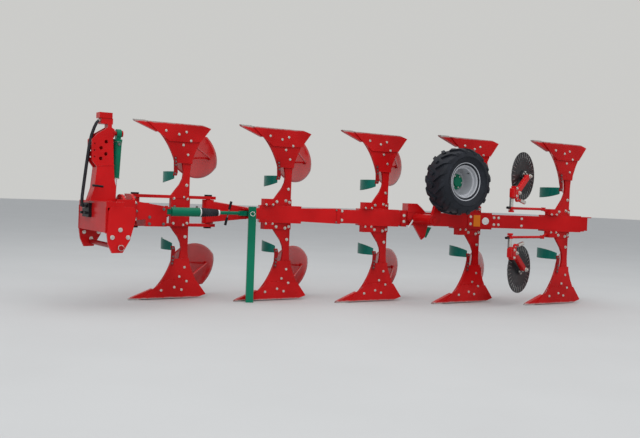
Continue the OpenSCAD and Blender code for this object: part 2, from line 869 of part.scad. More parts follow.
module wheel_bracket() {
  color(red) place() {
    on_beam() translate([bracket_s, 0, 0]) {
      slab(-beam_w / 2 - wheel_plate_t, wheel_plate_t)
        polygon([[262, 155], [358, 155], [402, 118], [478, 40], [478, -60], [450, -180], [418, -210],
          [334, -75], [262, -10]]);
      translate([262, -beam_w / 2 - wheel_plate_t, beam_h / 2]) cube([96, beam_w + 60, 86]);
    }
    y_bar(arm_pin[0], arm_plate_y + arm_t + 2, arm_pin[1], 110, pivot_end_y - arm_plate_y - arm_t - 2);
    y_bar(arm_pin[0], arm_plate_y - 8, arm_pin[1], arm_pin_d, arm_t + 20);
  }
}

module depth_block() {
  color(green) place() on_beam() translate([bracket_s, 0, 0]) slab(-beam_w / 2, 40)
    polygon([[424, -beam_h / 2], [530, -beam_h / 2 - 16], [478, -190], [424, -150]]);
}

module wheel_arm() {
  color(red) place() {
    difference() {
      union() {
        y_bar(arm_pin[0], arm_plate_y, arm_pin[1], 120, arm_t);
        translate([arm_pin[0], arm_plate_y, arm_pin[1]]) rotate([0, -atan2(wheel_dz, wheel_dx), 0])
          translate([0, 0, -45]) cube([norm([wheel_dx, wheel_dz]), arm_t, 90]);
        y_bar(wheel_pos[0], arm_plate_y, wheel_pos[2], 120, arm_t);
      }
      y_bar(arm_pin[0], arm_plate_y - 1, arm_pin[1], arm_pin_d + 2 * run_fit, arm_t + 2);
    }
    y_bar(wheel_pos[0], wheel_pos[1] + axle_end, wheel_pos[2], 50, arm_plate_y - wheel_pos[1] - axle_end);
  }
}

// The tyre's section, in shares of the height between rim and tread
module tyre_section(r, w) {
  h = r - rim_d / 2;
  seat_w = rim_w - 60;
  half = [[rim_d / 2 + 0.16 * h, w / 2 - 26], [rim_d / 2 + 0.5 * h, w / 2], [r - 0.45 * h, w / 2],
    [r - 0.16 * h, w / 2 - 14], [r - 0.03 * h, w / 2 - 44], [r, w / 2 - 80]];
  last = len(half) - 1;
  polygon(concat([[rim_d / 2 - 12, -seat_w / 2]], [for (p = half) [p[0], -p[1]]],
    [for (k = [last : -1 : 0]) half[k]], [[rim_d / 2 - 12, seat_w / 2]]));
}

module tyre_lug() {
  translate([tyre_d / 2 - lug_h - 44, 0, 4]) rotate([lug_slant, 0, 0]) translate([0, -lug_t / 2, 0])
    cube([lug_h + 60, lug_t, tyre_w]);
}

module tyre() {
  color(black) place() translate(wheel_pos) rotate([90, 0, 0]) {
    rotate_extrude($fn = 64) tyre_section(tyre_d / 2 - lug_h, tyre_w);
    intersection() {
      rotate_extrude($fn = 64) tyre_section(tyre_d / 2, tyre_w + 2);
      for (k = [0 : lug_count - 1]) {
        rotate([0, 0, 360 * k / lug_count]) tyre_lug();
        rotate([0, 0, 360 * (k + 0.5) / lug_count]) mirror([0, 0, 1]) tyre_lug();
      }
    }
  }
}

module wheel_hub() {
  color(green) place() difference() {
    union() {
      y_bar(wheel_pos[0], wheel_pos[1] + hub_near, wheel_pos[2], 150, -rim_disc_y - rim_disc_t - hub_near);
      y_bar(wheel_pos[0], wheel_pos[1] + 4, wheel_pos[2], 92, hub_near - 4);
    }
    y_bar(wheel_pos[0], wheel_pos[1] + axle_end - 2, wheel_pos[2], 50 + 2 * run_fit, rim_w / 2);
  }
}

module rim() {
  near_y = rim_w / 2 - 30;
  lip_r = rim_d / 2 - 12.3;
  color(silver) place() translate(wheel_pos) rotate([90, 0, 0]) rotate_extrude($fn = 64)
    polygon([[25 + run_fit, -near_y], [60, -near_y], [60, rim_disc_y], [lip_r - 14, rim_disc_y],
      [lip_r - 14, -near_y], [lip_r - 6, -near_y - 10], [lip_r, -near_y], [lip_r, near_y],
      [lip_r - 6, near_y + 10], [lip_r - 14, near_y], [lip_r - 16, near_y - 30], [lip_r - 30, near_y - 36],
      [lip_r - 36, rim_disc_y + rim_disc_t], [25 + run_fit, rim_disc_y + rim_disc_t]]);
}

// Sizes and drawings: disc coulters

stem_pos = [last_x - 346.7, last_y - 69.2];
arm_z = 145;
disc_back = 255;
disc_side = 18;
disc_z = 475;
disc_arm_y = -37;
flute_t = 8;
elbow = [last_x + 203.3, last_y + 28.8];
seat = [last_x + 282, last_y + leg_mid_y, 117];

module coulter_arm(upper) {
  in_row(!upper) translate([0, 0, beam_z]) {
    difference() {
      translate([stem_pos[0], stem_pos[1], arm_z - 14]) cylinder(d = 62, h = 28);
      translate([stem_pos[0], stem_pos[1], arm_z - 20]) cylinder(d = stem_d + 2 * run_fit, h = 40);
    }
    bar([stem_pos[0] + 26, stem_pos[1] + 5, arm_z], [elbow[0], elbow[1], arm_z], 26);
    translate([elbow[0] - 14, elbow[1] - 17, arm_z - 18]) cube([30, 34, 36]);
    bar([elbow[0] + 6, elbow[1], arm_z - 6], [seat[0] - 5, seat[1], seat[2]], 26);
    translate([seat[0] - 10, seat[1] - 30, seat[2] - 27]) cube([10, 60, 54]);
  }
}

module coulter_arms() {
  color(red) place() for (upper = [false, true]) coulter_arm(upper);
}

module coulter_fork(upper) {
  color(red) place() in_row(!upper) translate([stem_pos[0], stem_pos[1], beam_z]) {
    translate([0, 0, arm_z - 40]) cylinder(d = stem_d, h = 330 - arm_z + 40);
    translate([0, 0, arm_z - 40]) cylinder(d = 56, h = 20);
    rotate([0, 0, disc_swivel]) {
      translate([-34, disc_arm_y - 22, 240]) cube([70, 52, 126]);
      difference() {
        bar([24, disc_arm_y, 300], [disc_back, disc_arm_y, disc_z], 40);
        translate([disc_back, disc_arm_y - 40, disc_z]) rotate([-90, 0, 0]) cylinder(d = 30, h = 80);
      }
      y_bar(disc_back, disc_arm_y - 26, disc_z, 30, disc_side - disc_arm_y + 26 + 26);
    }
  }
}

module lower_coulter_fork() {
  coulter_fork(false);
}

module upper_coulter_fork() {
  coulter_fork(true);
}

module disc(upper) {
  color(black) place() in_row(!upper) translate([stem_pos[0], stem_pos[1], beam_z])
    rotate([0, 0, disc_swivel]) translate([disc_back, disc_side, disc_z]) rotate([90, 0, 0]) difference() {
      union() {
        cylinder(d = disc_d, h = 6, center = true, $fn = 96);
        cylinder(d = 110, h = 44, center = true);
        for (k = [0 : flute_count - 1]) rotate([0, 0, 360 * k / flute_count])
          translate([disc_d / 2 - 80, -flute_t / 2, -6]) cube([78, flute_t, 12]);
      }
      cylinder(d = 30 + 2 * run_fit, h = 50, center = true);
    }
}

module lower_disc() {
  disc(false);
}

module upper_disc() {
  disc(true);
}

tower();
tower_webs();
hitch_box();
link_plates();
link_shaft();
cap_block();
hoses();
hose_block();
turn_barrel();
turn_rod();
turning_hub();
front_link();
pivot_pins();
swing_barrel();
swing_rod();
turnbuckle();
beam_head();
front_beam();
rear_beam();
beam_joints();
body_brackets();
first_legs();
beam_legs();
first_frogs();
beam_frogs();
first_landsides();
beam_landsides();
first_points();
beam_points();
first_shares();
beam_shares();
first_boards();
beam_boards();
first_struts();
beam_struts();
first_trash_straps();
beam_trash_straps();
first_trashboards();
beam_trashboards();
stand_bracket();
stand_leg();
wheel_bracket();
depth_block();
wheel_arm();
tyre();
rim();
wheel_hub();
coulter_arms();
lower_coulter_fork();
upper_coulter_fork();
lower_disc();
upper_disc();
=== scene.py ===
"""Looks, fasteners, lights and camera for a mounted reversible plough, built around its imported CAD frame."""

from __future__ import annotations

import logging
import math
from dataclasses import dataclass
from enum import Enum
from functools import partial
from typing import Any, Iterable, Sequence

import bpy
from mathutils import Matrix, Vector


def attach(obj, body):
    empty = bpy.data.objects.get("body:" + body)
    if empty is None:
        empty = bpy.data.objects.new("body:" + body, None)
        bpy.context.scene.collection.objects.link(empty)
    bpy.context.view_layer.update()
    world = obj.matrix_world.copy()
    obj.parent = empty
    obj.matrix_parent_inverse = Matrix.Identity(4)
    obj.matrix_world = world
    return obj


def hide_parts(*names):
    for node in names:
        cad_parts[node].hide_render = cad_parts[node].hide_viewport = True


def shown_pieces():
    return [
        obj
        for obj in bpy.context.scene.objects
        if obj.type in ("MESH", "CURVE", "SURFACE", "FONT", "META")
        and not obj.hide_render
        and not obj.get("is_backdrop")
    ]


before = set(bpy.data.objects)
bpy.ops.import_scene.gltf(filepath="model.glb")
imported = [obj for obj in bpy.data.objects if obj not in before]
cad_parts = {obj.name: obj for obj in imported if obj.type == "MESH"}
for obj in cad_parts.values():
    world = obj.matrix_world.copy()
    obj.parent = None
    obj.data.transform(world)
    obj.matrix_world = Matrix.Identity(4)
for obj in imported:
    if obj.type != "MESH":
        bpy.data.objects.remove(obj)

LOG = logging.getLogger("plough")
MM = 0.001
CLIP_WIRE = 0.0028
CLIP_POINTS = 20
NEAR = Vector((0.0, -1.0, 0.0))
REARWARD = Vector((1.0, 0.0, 0.0))
UP = Vector((0.0, 0.0, 1.0))
Pair = tuple[float, float]
Point = tuple[float, float, float]
Colour = tuple[float, float, float]
Cubic = tuple[Vector, Vector, Vector, Vector]
# A fastener's place, the direction of its axis and its size factor.
Fastener = tuple[Vector, Vector, float]


class Row(Enum):
    """The two rows of bodies, and which way each one's heights count from the beam."""

    LOWER = 1
    UPPER = -1


class Head(Enum):
    """The kinds of fastener heads, by the number of sides of each."""

    HEX = 6
    ROUND = 20
    SIGN = 48


@dataclass(frozen=True)
class Layout:
    """The plough's setting out, in millimetres, with its zero at the first lower share's point."""

    pitch: float = 1000.0
    angle: float = math.radians(20.5)
    beam_z: float = 851.0
    hitch_y: float = -300.0
    leg_x: float = 500.0
    leg_mid_y: float = 38.0
    origin_x: float = 2134.79
    origin_y: float = -540.8
    bodies: int = 5

    @property
    def step(self) -> Vector:
        """The way from one body to the next."""
        return Vector((self.pitch * math.cos(self.angle), -self.pitch * math.sin(self.angle), 0.0))

    def at(self, x: float, y: float, z: float) -> Vector:
        """A point of the working frame in the row frame, in metres."""
        return Vector((x - self.origin_x, y - self.origin_y, z)) * MM

    def line(self, *points: Point) -> list[Vector]:
        """A line's points in the row frame, in metres."""
        return [self.at(*point) for point in points]

    def on_body(self, index: int, row: Row, x: float, y: float, z: float) -> Vector:
        """A point of a body's own drawing in the row frame.

        Args:
            index: The body's number, 0 at the front.
            row: The row that the body is in.
            x: Distance behind the share's point.
            y: Distance from the landside's face.
            z: Height over the share's point, towards the beam.

        Returns:
            The point in metres.
        """
        shift = self.step * index
        height = z if row is Row.LOWER else 2 * self.beam_z - z
        return self.at(x + shift.x, y + shift.y, height)

    def on_beam(self, s: float, n: float, z: float) -> Vector:
        """A point given along the beam, across it and from its centre's height, in metres."""
        cos, sin = math.cos(self.angle), math.sin(self.angle)
        return self.at(self.leg_x + s * cos + n * sin, self.leg_mid_y - s * sin + n * cos, self.beam_z + z)

    def beam_run(self) -> Vector:
        """The direction that the beam runs in, from front to rear."""
        return Vector((math.cos(self.angle), -math.sin(self.angle), 0.0))

    def beam_side(self) -> Vector:
        """The direction that the beam's near face looks in."""
        return Vector((-math.sin(self.angle), -math.cos(self.angle), 0.0))


LAYOUT = Layout()


def metres(points: Iterable[Point]) -> tuple[Vector, ...]:
    """Points in millimetres as vectors in metres."""
    return tuple(Vector(point) * MM for point in points)


class Term:
    """A node socket that takes part in Python expressions: numbers go through Math nodes."""

    def __init__(self, tree: NodeTree, socket: Any) -> None:
        """Wraps a socket of a tree."""
        self.tree = tree
        self.socket = socket

    def _math(self, operation: str, *values: Any) -> Term:
        """Adds a Math node for the operation on the values."""
        return self.tree.add("ShaderNodeMath", {"operation": operation}, dict(enumerate(values)))

    def __add__(self, other: Any) -> Term:
        """Sum."""
        return self._math("ADD", self, other)

    def __radd__(self, other: Any) -> Term:
        """Reflected sum."""
        return self._math("ADD", other, self)

    def __sub__(self, other: Any) -> Term:
        """Difference."""
        return self._math("SUBTRACT", self, other)

    def __rsub__(self, other: Any) -> Term:
        """Reflected difference."""
        return self._math("SUBTRACT", other, self)

    def __mul__(self, other: Any) -> Term:
        """Product."""
        return self._math("MULTIPLY", self, other)

    def __rmul__(self, other: Any) -> Term:
        """Reflected product."""
        return self._math("MULTIPLY", other, self)

    def __pow__(self, other: Any) -> Term:
        """Power."""
        return self._math("POWER", self, other)

    def __rpow__(self, other: Any) -> Term:
        """Reflected power."""
        return self._math("POWER", other, self)

    def absolute(self) -> Term:
        """The value without its sign."""
        return self._math("ABSOLUTE", self)

    def sine(self) -> Term:
        """Sine of an angle in radians."""
        return self._math("SINE", self)

    def larger(self, other: Any) -> Term:
        """The larger of two values."""
        return self._math("MAXIMUM", self, other)

    def step(self, low: float, high: float) -> Term:
        """A smooth step from 0 at low to 1 at high."""
        return self.tree.add("ShaderNodeMapRange", {"interpolation_type": "SMOOTHSTEP"},
                             {"Value": self, "From Min": low, "From Max": high})


class NodeTree:
    """A node tree whose nodes all come from one method."""

    def __init__(self, tree: Any) -> None:
        """Empties a node tree and wraps it."""
        self.tree = tree
        tree.nodes.clear()

    def add(self, kind: str, settings: dict[str, Any] | None = None, inputs: dict[Any, Any] | None = None,
            output: int | str = 0) -> Term:
        """Adds a node.

        Args:
            kind: The node's type.
            settings: The node's own settings, set first.
            inputs: Values or links by socket name or number.
            output: The output that the result wraps.

        Returns:
            The wanted output as a term.
        """
        node = self.tree.nodes.new(kind)
        for name, value in (settings or {}).items():
            setattr(node, name, value)
        for name, value in (inputs or {}).items():
            if isinstance(value, Term):
                self.tree.links.new(value.socket, node.inputs[name])
            elif value is not None:
                node.inputs[name].default_value = value
        return Term(self, node.outputs[output] if len(node.outputs) else None)

    def axis(self, vector: Term, index: int) -> Term:
        """One coordinate of a vector."""
        return self.add("ShaderNodeSeparateXYZ", inputs={0: vector}, output=index)


class ShaderTree(NodeTree):
    """A material's tree with the helpers that the finishes share."""

    def __init__(self, name: str) -> None:
        """Starts a new material.

        Args:
            name: The material's name.
        """
        self.material = bpy.data.materials.new(name)
        self.material.use_nodes = True
        super().__init__(self.material.node_tree)
        self.place = self.add("ShaderNodeTexCoord", output="Object")

    def noise(self, scale: float, detail: float = 3.0, stretch: Point | None = None) -> Term:
        """Adds noise in object space.

        Args:
            scale: How fine the noise is.
            detail: How many finer layers it has.
            stretch: Factors on the three coordinates, for a grain that runs one way.

        Returns:
            The noise, from 0 to 1.
        """
        vector = self.place
        if stretch:
            vector = self.add("ShaderNodeVectorMath", {"operation": "MULTIPLY"}, {0: self.place, 1: stretch})
        return self.add("ShaderNodeTexNoise", inputs={"Vector": vector, "Scale": scale, "Detail": detail})

    def mix(self, factor: Any, first: Any, second: Any) -> Term:
        """Mixes two colours."""
        one, two = (value if isinstance(value, Term) else (*value, 1.0) for value in (first, second))
        return self.add("ShaderNodeMix", {"data_type": "RGBA"}, {0: factor, 6: one, 7: two}, output=2)

    def rounded(self, radius: float) -> Term:
        """The surface's normal with its edges rounded."""
        return self.add("ShaderNodeBevel", {"samples": 4}, {"Radius": radius})

    def edges(self, rounded: Term) -> Term:
        """Masks the edges.

        Args:
            rounded: The normal with rounded edges.

        Returns:
            A mask that is 1 on the edges and 0 on flat faces.
        """
        flat = self.add("ShaderNodeNewGeometry", output="Normal")
        along = self.add("ShaderNodeVectorMath", {"operation": "DOT_PRODUCT"}, {0: rounded, 1: flat},
                         output="Value")
        return (1.0 - along).step(0.02, 0.22)

    def facing_up(self) -> Term:
        """How much the surface looks up."""
        return self.axis(self.add("ShaderNodeNewGeometry", output="Normal"), 2)

    def bump(self, height: Term, strength: float, distance: float, normal: Term) -> Term:
        """A bump on top of the given normal."""
        inputs = {"Height": height, "Strength": strength, "Distance": distance, "Normal": normal}
        return self.add("ShaderNodeBump", inputs=inputs)

    def finish(self, **inputs: Any) -> bpy.types.Material:
        """Adds the surface shader.

        Args:
            **inputs: Its sockets' values or links, with underscores for spaces.

        Returns:
            The finished material.
        """
        named = {name.replace("_", " "): value for name, value in inputs.items()}
        shader = self.add("ShaderNodeBsdfPrincipled", inputs=named)
        self.add("ShaderNodeOutputMaterial", inputs={"Surface": shader})
        return self.material


@dataclass(frozen=True)
class Paint:
    """Sprayed gloss paint with slight shade drift, orange peel, settled dust and rubbed edges."""

    name: str
    colour: Colour
    gloss: float = 0.26
    dust: float = 0.05
    wear: float = 0.25
    bare: Colour = (0.50, 0.49, 0.47)
    tips: bool = False
    shine: float = 0.11
    coat: float = 0.05
    coat_rough: float = 0.12
    shades: Pair = (0.80, 1.10)
    dirt: Colour = (0.42, 0.38, 0.33)
    edge: float = 0.003
    tip_reach: Pair = (0.836, 0.856)
    tip_ragged: float = 0.02

    def material(self) -> bpy.types.Material:
        """Builds the material.

        Returns:
            The finished material.
        """
        tree = ShaderTree(self.name)
        drift = tree.noise(2.3)
        speck = tree.noise(46.0, 5.0)
        dark = tuple(channel * self.shades[0] for channel in self.colour)
        light = tuple(min(1.0, channel * self.shades[1] + 0.003) for channel in self.colour)
        colour = tree.mix(drift.step(0.3, 0.7), dark, light)
        settled = tree.facing_up().step(0.55, 0.95) * speck.step(0.35, 0.75) * self.dust
        colour = tree.mix(settled, colour, self.dirt)
        rounded = tree.rounded(self.edge)
        rubbed = tree.edges(rounded) * tree.noise(70.0, 4.0).step(0.52, 0.72) * self.wear
        if self.tips:
            reach = (tree.axis(tree.place, 2) - LAYOUT.beam_z * MM).absolute()
            ragged = tree.noise(30.0, 4.0) * self.tip_ragged
            rubbed = rubbed.larger((reach + ragged).step(*self.tip_reach))
        colour = tree.mix(rubbed, colour, self.bare)
        # The speckle adds 0.06 on average, so gloss stays the mean roughness of clean paint.
        rough = speck * 0.12 + settled * 0.9 + (self.gloss - 0.06)
        peel = tree.bump(tree.noise(420.0, 2.0), 0.05, 0.0006, rounded)
        return tree.finish(Base_Color=colour, Roughness=rough, Metallic=rubbed * 0.8, Normal=peel,
                           Specular_IOR_Level=self.shine, Coat_Weight=self.coat,
                           Coat_Roughness=self.coat_rough)


@dataclass(frozen=True)
class Metal:
    """Plain or plated steel with a turned grain and a light tarnish."""

    name: str
    colour: Colour
    rough: float = 0.28
    tarnish: Colour = (0.30, 0.27, 0.24)
    amount: float = 0.35
    edge: float = 0.0015
    grain_run: Point = (1.0, 1.0, 0.2)

    def material(self) -> bpy.types.Material:
        """Builds the material.

        Returns:
            The finished material.
        """
        tree = ShaderTree(self.name)
        cloud = tree.noise(24.0, 4.0).step(0.42, 0.78) * self.amount
        colour = tree.mix(cloud, self.colour, self.tarnish)
        grain = tree.noise(260.0, 2.0, self.grain_run)
        bump = tree.bump(grain, 0.08, 0.0004, tree.rounded(self.edge))
        # The grain adds about 0.07 on average, so rough stays the mean roughness of bright metal.
        rough = grain * 0.15 + cloud * 0.3 + (self.rough - 0.07)
        return tree.finish(Base_Color=colour, Roughness=rough, Metallic=0.9, Normal=bump)


@dataclass(frozen=True)
class Rubber:
    """Moulded black rubber with a matt bloom and a fine skin."""

    name: str
    colour: Colour = (0.013, 0.013, 0.016)
    bloom: Colour = (0.050, 0.052, 0.060)
    rough: float = 0.62
    grain: float = 300.0
    edge: float = 0.004
    shine: float = 0.20

    def material(self) -> bpy.types.Material:
        """Builds the material.

        Returns:
            The finished material.
        """
        tree = ShaderTree(self.name)
        worn = tree.noise(9.0, 5.0).step(0.35, 0.75)
        dusty = tree.noise(60.0, 4.0).step(0.45, 0.8) * 0.45
        colour = tree.mix(worn * 0.5 + dusty, self.colour, self.bloom)
        skin = tree.bump(tree.noise(self.grain, 3.0), 0.18, 0.0008, tree.rounded(self.edge))
        return tree.finish(Base_Color=colour, Roughness=self.rough + worn * 0.12, Normal=skin,
                           Specular_IOR_Level=self.shine)


@dataclass(frozen=True)
class FlutedSteel:
    """Dark coulter steel with pale ground flutes near its rim."""

    name: str
    dark: Colour = (0.028, 0.029, 0.032)
    pale: Colour = (0.42, 0.42, 0.43)
    rough: float = 0.42
    edge: float = 0.002

    def material(self) -> bpy.types.Material:
        """Builds the material.

        Returns:
            The finished material.
        """
        tree = ShaderTree(self.name)
        cloud = tree.noise(18.0, 5.0)
        rounded = tree.rounded(self.edge)
        ground = tree.edges(rounded) * 0.8 + cloud.step(0.5, 0.8) * 0.12
        colour = tree.mix(ground, self.dark, self.pale)
        bump = tree.bump(tree.noise(200.0, 3.0), 0.1, 0.0006, rounded)
        return tree.finish(Base_Color=colour, Roughness=self.rough - ground * 0.12, Metallic=0.55,
                           Normal=bump)


class Finishes:
    """Every finish of the plough, made once and handed out by name."""

    TABLE = (
        Paint("red_gloss", (0.500, 0.0050, 0.0062), tips=True),
        Paint("red_board", (0.500, 0.0050, 0.0062), gloss=0.20, shine=0.40, coat=0.50),
        Paint("red_bright", (0.520, 0.0052, 0.0065), gloss=0.22),
        # A darker copy of the same red paint, as painted shade for the trash straps and the link shaft.
        Paint("red_painted_shade", (0.300, 0.0040, 0.0060), gloss=0.34),
        Paint("green_gloss", (0.002, 0.165, 0.088), gloss=0.24, wear=0.12),
        Paint("green_plastic", (0.003, 0.140, 0.105), gloss=0.30, wear=0.0, coat=0.2),
        Paint("silver_paint", (0.50, 0.51, 0.54), gloss=0.30, bare=(0.3, 0.3, 0.3), wear=0.3, shine=0.5),
        Paint("reflector_orange", (0.78, 0.20, 0.012), gloss=0.25, wear=0.0),
        Paint("sign_white", (0.76, 0.76, 0.74), gloss=0.30, wear=0.0),
        Paint("black_paint", (0.010, 0.010, 0.012), gloss=0.38, wear=0.15, dust=0.02),
        Metal("zinc", (0.67, 0.66, 0.62)),
        Metal("dark_zinc", (0.18, 0.17, 0.17), 0.42),
        Metal("worn_steel", (0.40, 0.40, 0.40), 0.36),
        Metal("rod_chrome", (0.80, 0.80, 0.80), 0.14, amount=0.1),
        Rubber("soft_rubber"),
        Rubber("tyre_rubber", colour=(0.011, 0.013, 0.018), bloom=(0.026, 0.030, 0.040), rough=0.50,
               grain=190.0),
        FlutedSteel("fluted_steel"),
    )

    def __init__(self) -> None:
        """Builds all the materials."""
        self.made = {finish.name: finish.material() for finish in self.TABLE}

    def __getitem__(self, name: str) -> bpy.types.Material:
        """The material of a finish."""
        return self.made[name]

    def dress(self, finish: str, *nodes: str) -> None:
        """Gives CAD nodes a finish.

        Args:
            finish: The finish's name.
            *nodes: The nodes' names.
        """
        for node in nodes:
            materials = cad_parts[node].data.materials
            materials.clear()
            materials.append(self.made[finish])


class GeometryTree(NodeTree):
    """A Geometry Nodes tree with named inputs, run once on a carrier mesh."""

    KINDS = {float: "NodeSocketFloat", int: "NodeSocketInt", Vector: "NodeSocketVector"}

    def __init__(self, name: str) -> None:
        """Starts a tree with its geometry input and output.

        Args:
            name: The tree's name.
        """
        self.group = bpy.data.node_groups.new(name, "GeometryNodeTree")
        super().__init__(self.group)
        self.group.interface.new_socket("Geometry", in_out="INPUT", socket_type="NodeSocketGeometry")
        self.group.interface.new_socket("Geometry", in_out="OUTPUT", socket_type="NodeSocketGeometry")
        self.source = self.group.nodes.new("NodeGroupInput")

    def geometry(self) -> Term:
        """The geometry that comes in."""
        return Term(self, self.source.outputs["Geometry"])

    def value(self, name: str, default: Any) -> Term:
        """Adds a named input.

        Args:
            name: The input's name.
            default: Its value where a run gives none, which also sets its kind.

        Returns:
            The input as a term.
        """
        socket_type = self.KINDS[type(default)]
        item = self.group.interface.new_socket(name, in_out="INPUT", socket_type=socket_type)
        item.default_value = default
        return Term(self, self.source.outputs[name])

    def finish(self) -> Term:
        """Adds the input for the material."""
        self.group.interface.new_socket("Finish", in_out="INPUT", socket_type="NodeSocketMaterial")
        return Term(self, self.source.outputs["Finish"])

    def sheet(self, across: Any, up: Any) -> tuple[Term, Term, Term]:
        """Adds a flat unit grid.

        Args:
            across: The number of its points one way.
            up: The number of its points the other way.

        Returns:
            The grid and the two coordinates of its points, each from 0 to 1.
        """
        grid = self.add("GeometryNodeMeshGrid", inputs={"Size X": 1.0, "Size Y": 1.0, "Vertices X": across,
                                                        "Vertices Y": up})
        spot = self.add("GeometryNodeInputPosition")
        return grid, self.axis(spot, 0) + 0.5, self.axis(spot, 1) + 0.5

    def vector(self, operation: str, first: Any, second: Any = None, scale: Any = None) -> Term:
        """Vector Math on one or two vectors."""
        inputs = {0: first, 1: second, "Scale": scale}
        return self.add("ShaderNodeVectorMath", {"operation": operation}, inputs)

    def join(self, *parts: Term) -> Term:
        """Joins geometries.

        Args:
            *parts: The geometries.

        Returns:
            The joined one.
        """
        node = self.group.nodes.new("GeometryNodeJoinGeometry")
        for part in parts:
            self.group.links.new(part.socket, node.inputs[0])
        return Term(self, node.outputs[0])

    def close(self, geometry: Term, material: Term, smooth: bool = False) -> None:
        """Ends the tree: realises instances, sets the shading and the material.

        Args:
            geometry: What the tree has made.
            material: Its finish.
            smooth: Whether its faces are shaded smooth.
        """
        real = self.add("GeometryNodeRealizeInstances", inputs={0: geometry})
        real = self.add("GeometryNodeSetShadeSmooth", inputs={0: real, "Shade Smooth": smooth})
        real = self.add("GeometryNodeSetMaterial", inputs={0: real, "Material": material})
        out = self.group.nodes.new("NodeGroupOutput")
        self.group.links.new(real.socket, out.inputs["Geometry"])

    def run(self, name: str, carrier: bpy.types.Mesh, values: dict[str, Any]) -> bpy.types.Object:
        """Runs the tree on a carrier mesh and keeps the result as a plain mesh object.

        Args:
            name: The new piece's name.
            carrier: The mesh that the tree reads.
            values: The inputs by name.

        Returns:
            The finished object at the origin.
        """
        holder = bpy.data.objects.new(name, carrier)
        bpy.context.scene.collection.objects.link(holder)
        modifier = holder.modifiers.new("shape", "NODES")
        modifier.node_group = self.group
        for item in self.group.interface.items_tree:
            if item.item_type == "SOCKET" and item.in_out == "INPUT" and item.name in values:
                modifier[item.identifier] = values[item.name]
        bpy.context.view_layer.update()
        shape = bpy.data.meshes.new_from_object(holder.evaluated_get(bpy.context.evaluated_depsgraph_get()))
        holder.modifiers.clear()
        holder.data = shape
        shape.name = name
        return holder


def points_mesh(name: str, rows: Sequence[Fastener]) -> bpy.types.Mesh:
    """A mesh of loose points that carries each fastener's place, aim and size.

    Args:
        name: The mesh's name.
        rows: The fasteners.

    Returns:
        The carrier mesh.
    """
    mesh = bpy.data.meshes.new(name)
    mesh.from_pydata([row[0] for row in rows], [], [])
    mesh.attributes.new("aim", "FLOAT_VECTOR", "POINT")
    mesh.attributes.new("size", "FLOAT", "POINT")
    aim, size = mesh.attributes["aim"].data, mesh.attributes["size"].data
    for index, (_, direction, factor) in enumerate(rows):
        aim[index].vector = direction
        size[index].value = factor
    return mesh


class FastenerTree(GeometryTree):
    """Bolt heads with a washer and the thread's end, one on each carrier point."""

    WASHER_THICKNESS = 0.0025
    WASHER_SIDES = 24
    STUD_SIDES = 16
    STUD_SHARE = 0.55

    def __init__(self) -> None:
        """Builds the tree."""
        super().__init__("fasteners")
        sides = self.value("Sides", 6)
        radius = self.value("Head Radius", 0.012)
        height = self.value("Head Height", 0.009)
        washer = self.value("Washer Radius", 0.016)
        stud = self.value("Stud Height", 0.006)
        finish = self.finish()
        thin = self.WASHER_THICKNESS
        parts = [self._disc(self.WASHER_SIDES, washer, thin, 0.0), self._disc(sides, radius, height, thin),
                 self._disc(self.STUD_SIDES, radius * self.STUD_SHARE, stud, height + thin)]
        aim = self.add("GeometryNodeInputNamedAttribute", {"data_type": "FLOAT_VECTOR"}, {"Name": "aim"})
        size = self.add("GeometryNodeInputNamedAttribute", {"data_type": "FLOAT"}, {"Name": "size"})
        turn = self.add("FunctionNodeAlignRotationToVector", {"axis": "Z"}, {"Vector": aim})
        scale = self.add("ShaderNodeCombineXYZ", inputs={0: size, 1: size, 2: size})
        placed = self.add("GeometryNodeInstanceOnPoints", inputs={
            "Points": self.geometry(), "Instance": self.join(*parts), "Rotation": turn, "Scale": scale})
        self.close(placed, finish)

    def _disc(self, sides: Any, radius: Any, height: Any, base: Any) -> Term:
        """Adds a closed cylinder along Z.

        Args:
            sides: The number of its sides.
            radius: Its radius.
            height: Its height.
            base: The height that it stands at.

        Returns:
            The cylinder.
        """
        disc = self.add("GeometryNodeMeshCylinder", inputs={
            "Vertices": sides, "Radius": radius, "Depth": height})
        lift = self.add("ShaderNodeCombineXYZ", inputs={2: height * 0.5 + base})
        return self.add("GeometryNodeTransform", inputs={"Geometry": disc, "Translation": lift})


@dataclass(frozen=True)
class Bolts:
    """A set of like fasteners that ride on one body."""

    name: str
    body: str
    rows: tuple[Fastener, ...]
    finish: str = "zinc"
    head: Head = Head.HEX
    radius: float = 0.012
    height: float = 0.009
    washer: float = 0.0155
    stud: float = 0.005
    slot: str = "black_steel"

    def build(self, shop: Shop) -> bpy.types.Object:
        """Makes the set and puts it on its body.

        Args:
            shop: The shared trees and finishes.

        Returns:
            The finished object.
        """
        values = {"Sides": self.head.value, "Head Radius": self.radius, "Head Height": self.height,
                  "Washer Radius": self.washer, "Stud Height": self.stud,
                  "Finish": shop.finishes[self.finish]}
        piece = shop.fasteners.run(self.name, points_mesh(self.name, self.rows), values)
        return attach(piece, self.body)


def lines_mesh(name: str, lines: Iterable[Sequence[Vector]]) -> bpy.types.Mesh:
    """A mesh of open polylines, or of closed ones where the last point is the first.

    Args:
        name: The mesh's name.
        lines: The points of each line, in metres.

    Returns:
        The carrier mesh.
    """
    points: list[Vector] = []
    edges: list[tuple[int, int]] = []
    for line in lines:
        closed = line[0] == line[-1]
        kept = list(line[:-1] if closed else line)
        start = len(points)
        points += kept
        edges += [(start + k, start + k + 1) for k in range(len(kept) - 1)]
        if closed:
            edges.append((start + len(kept) - 1, start))
    mesh = bpy.data.meshes.new(name)
    mesh.from_pydata(points, edges, [])
    return mesh


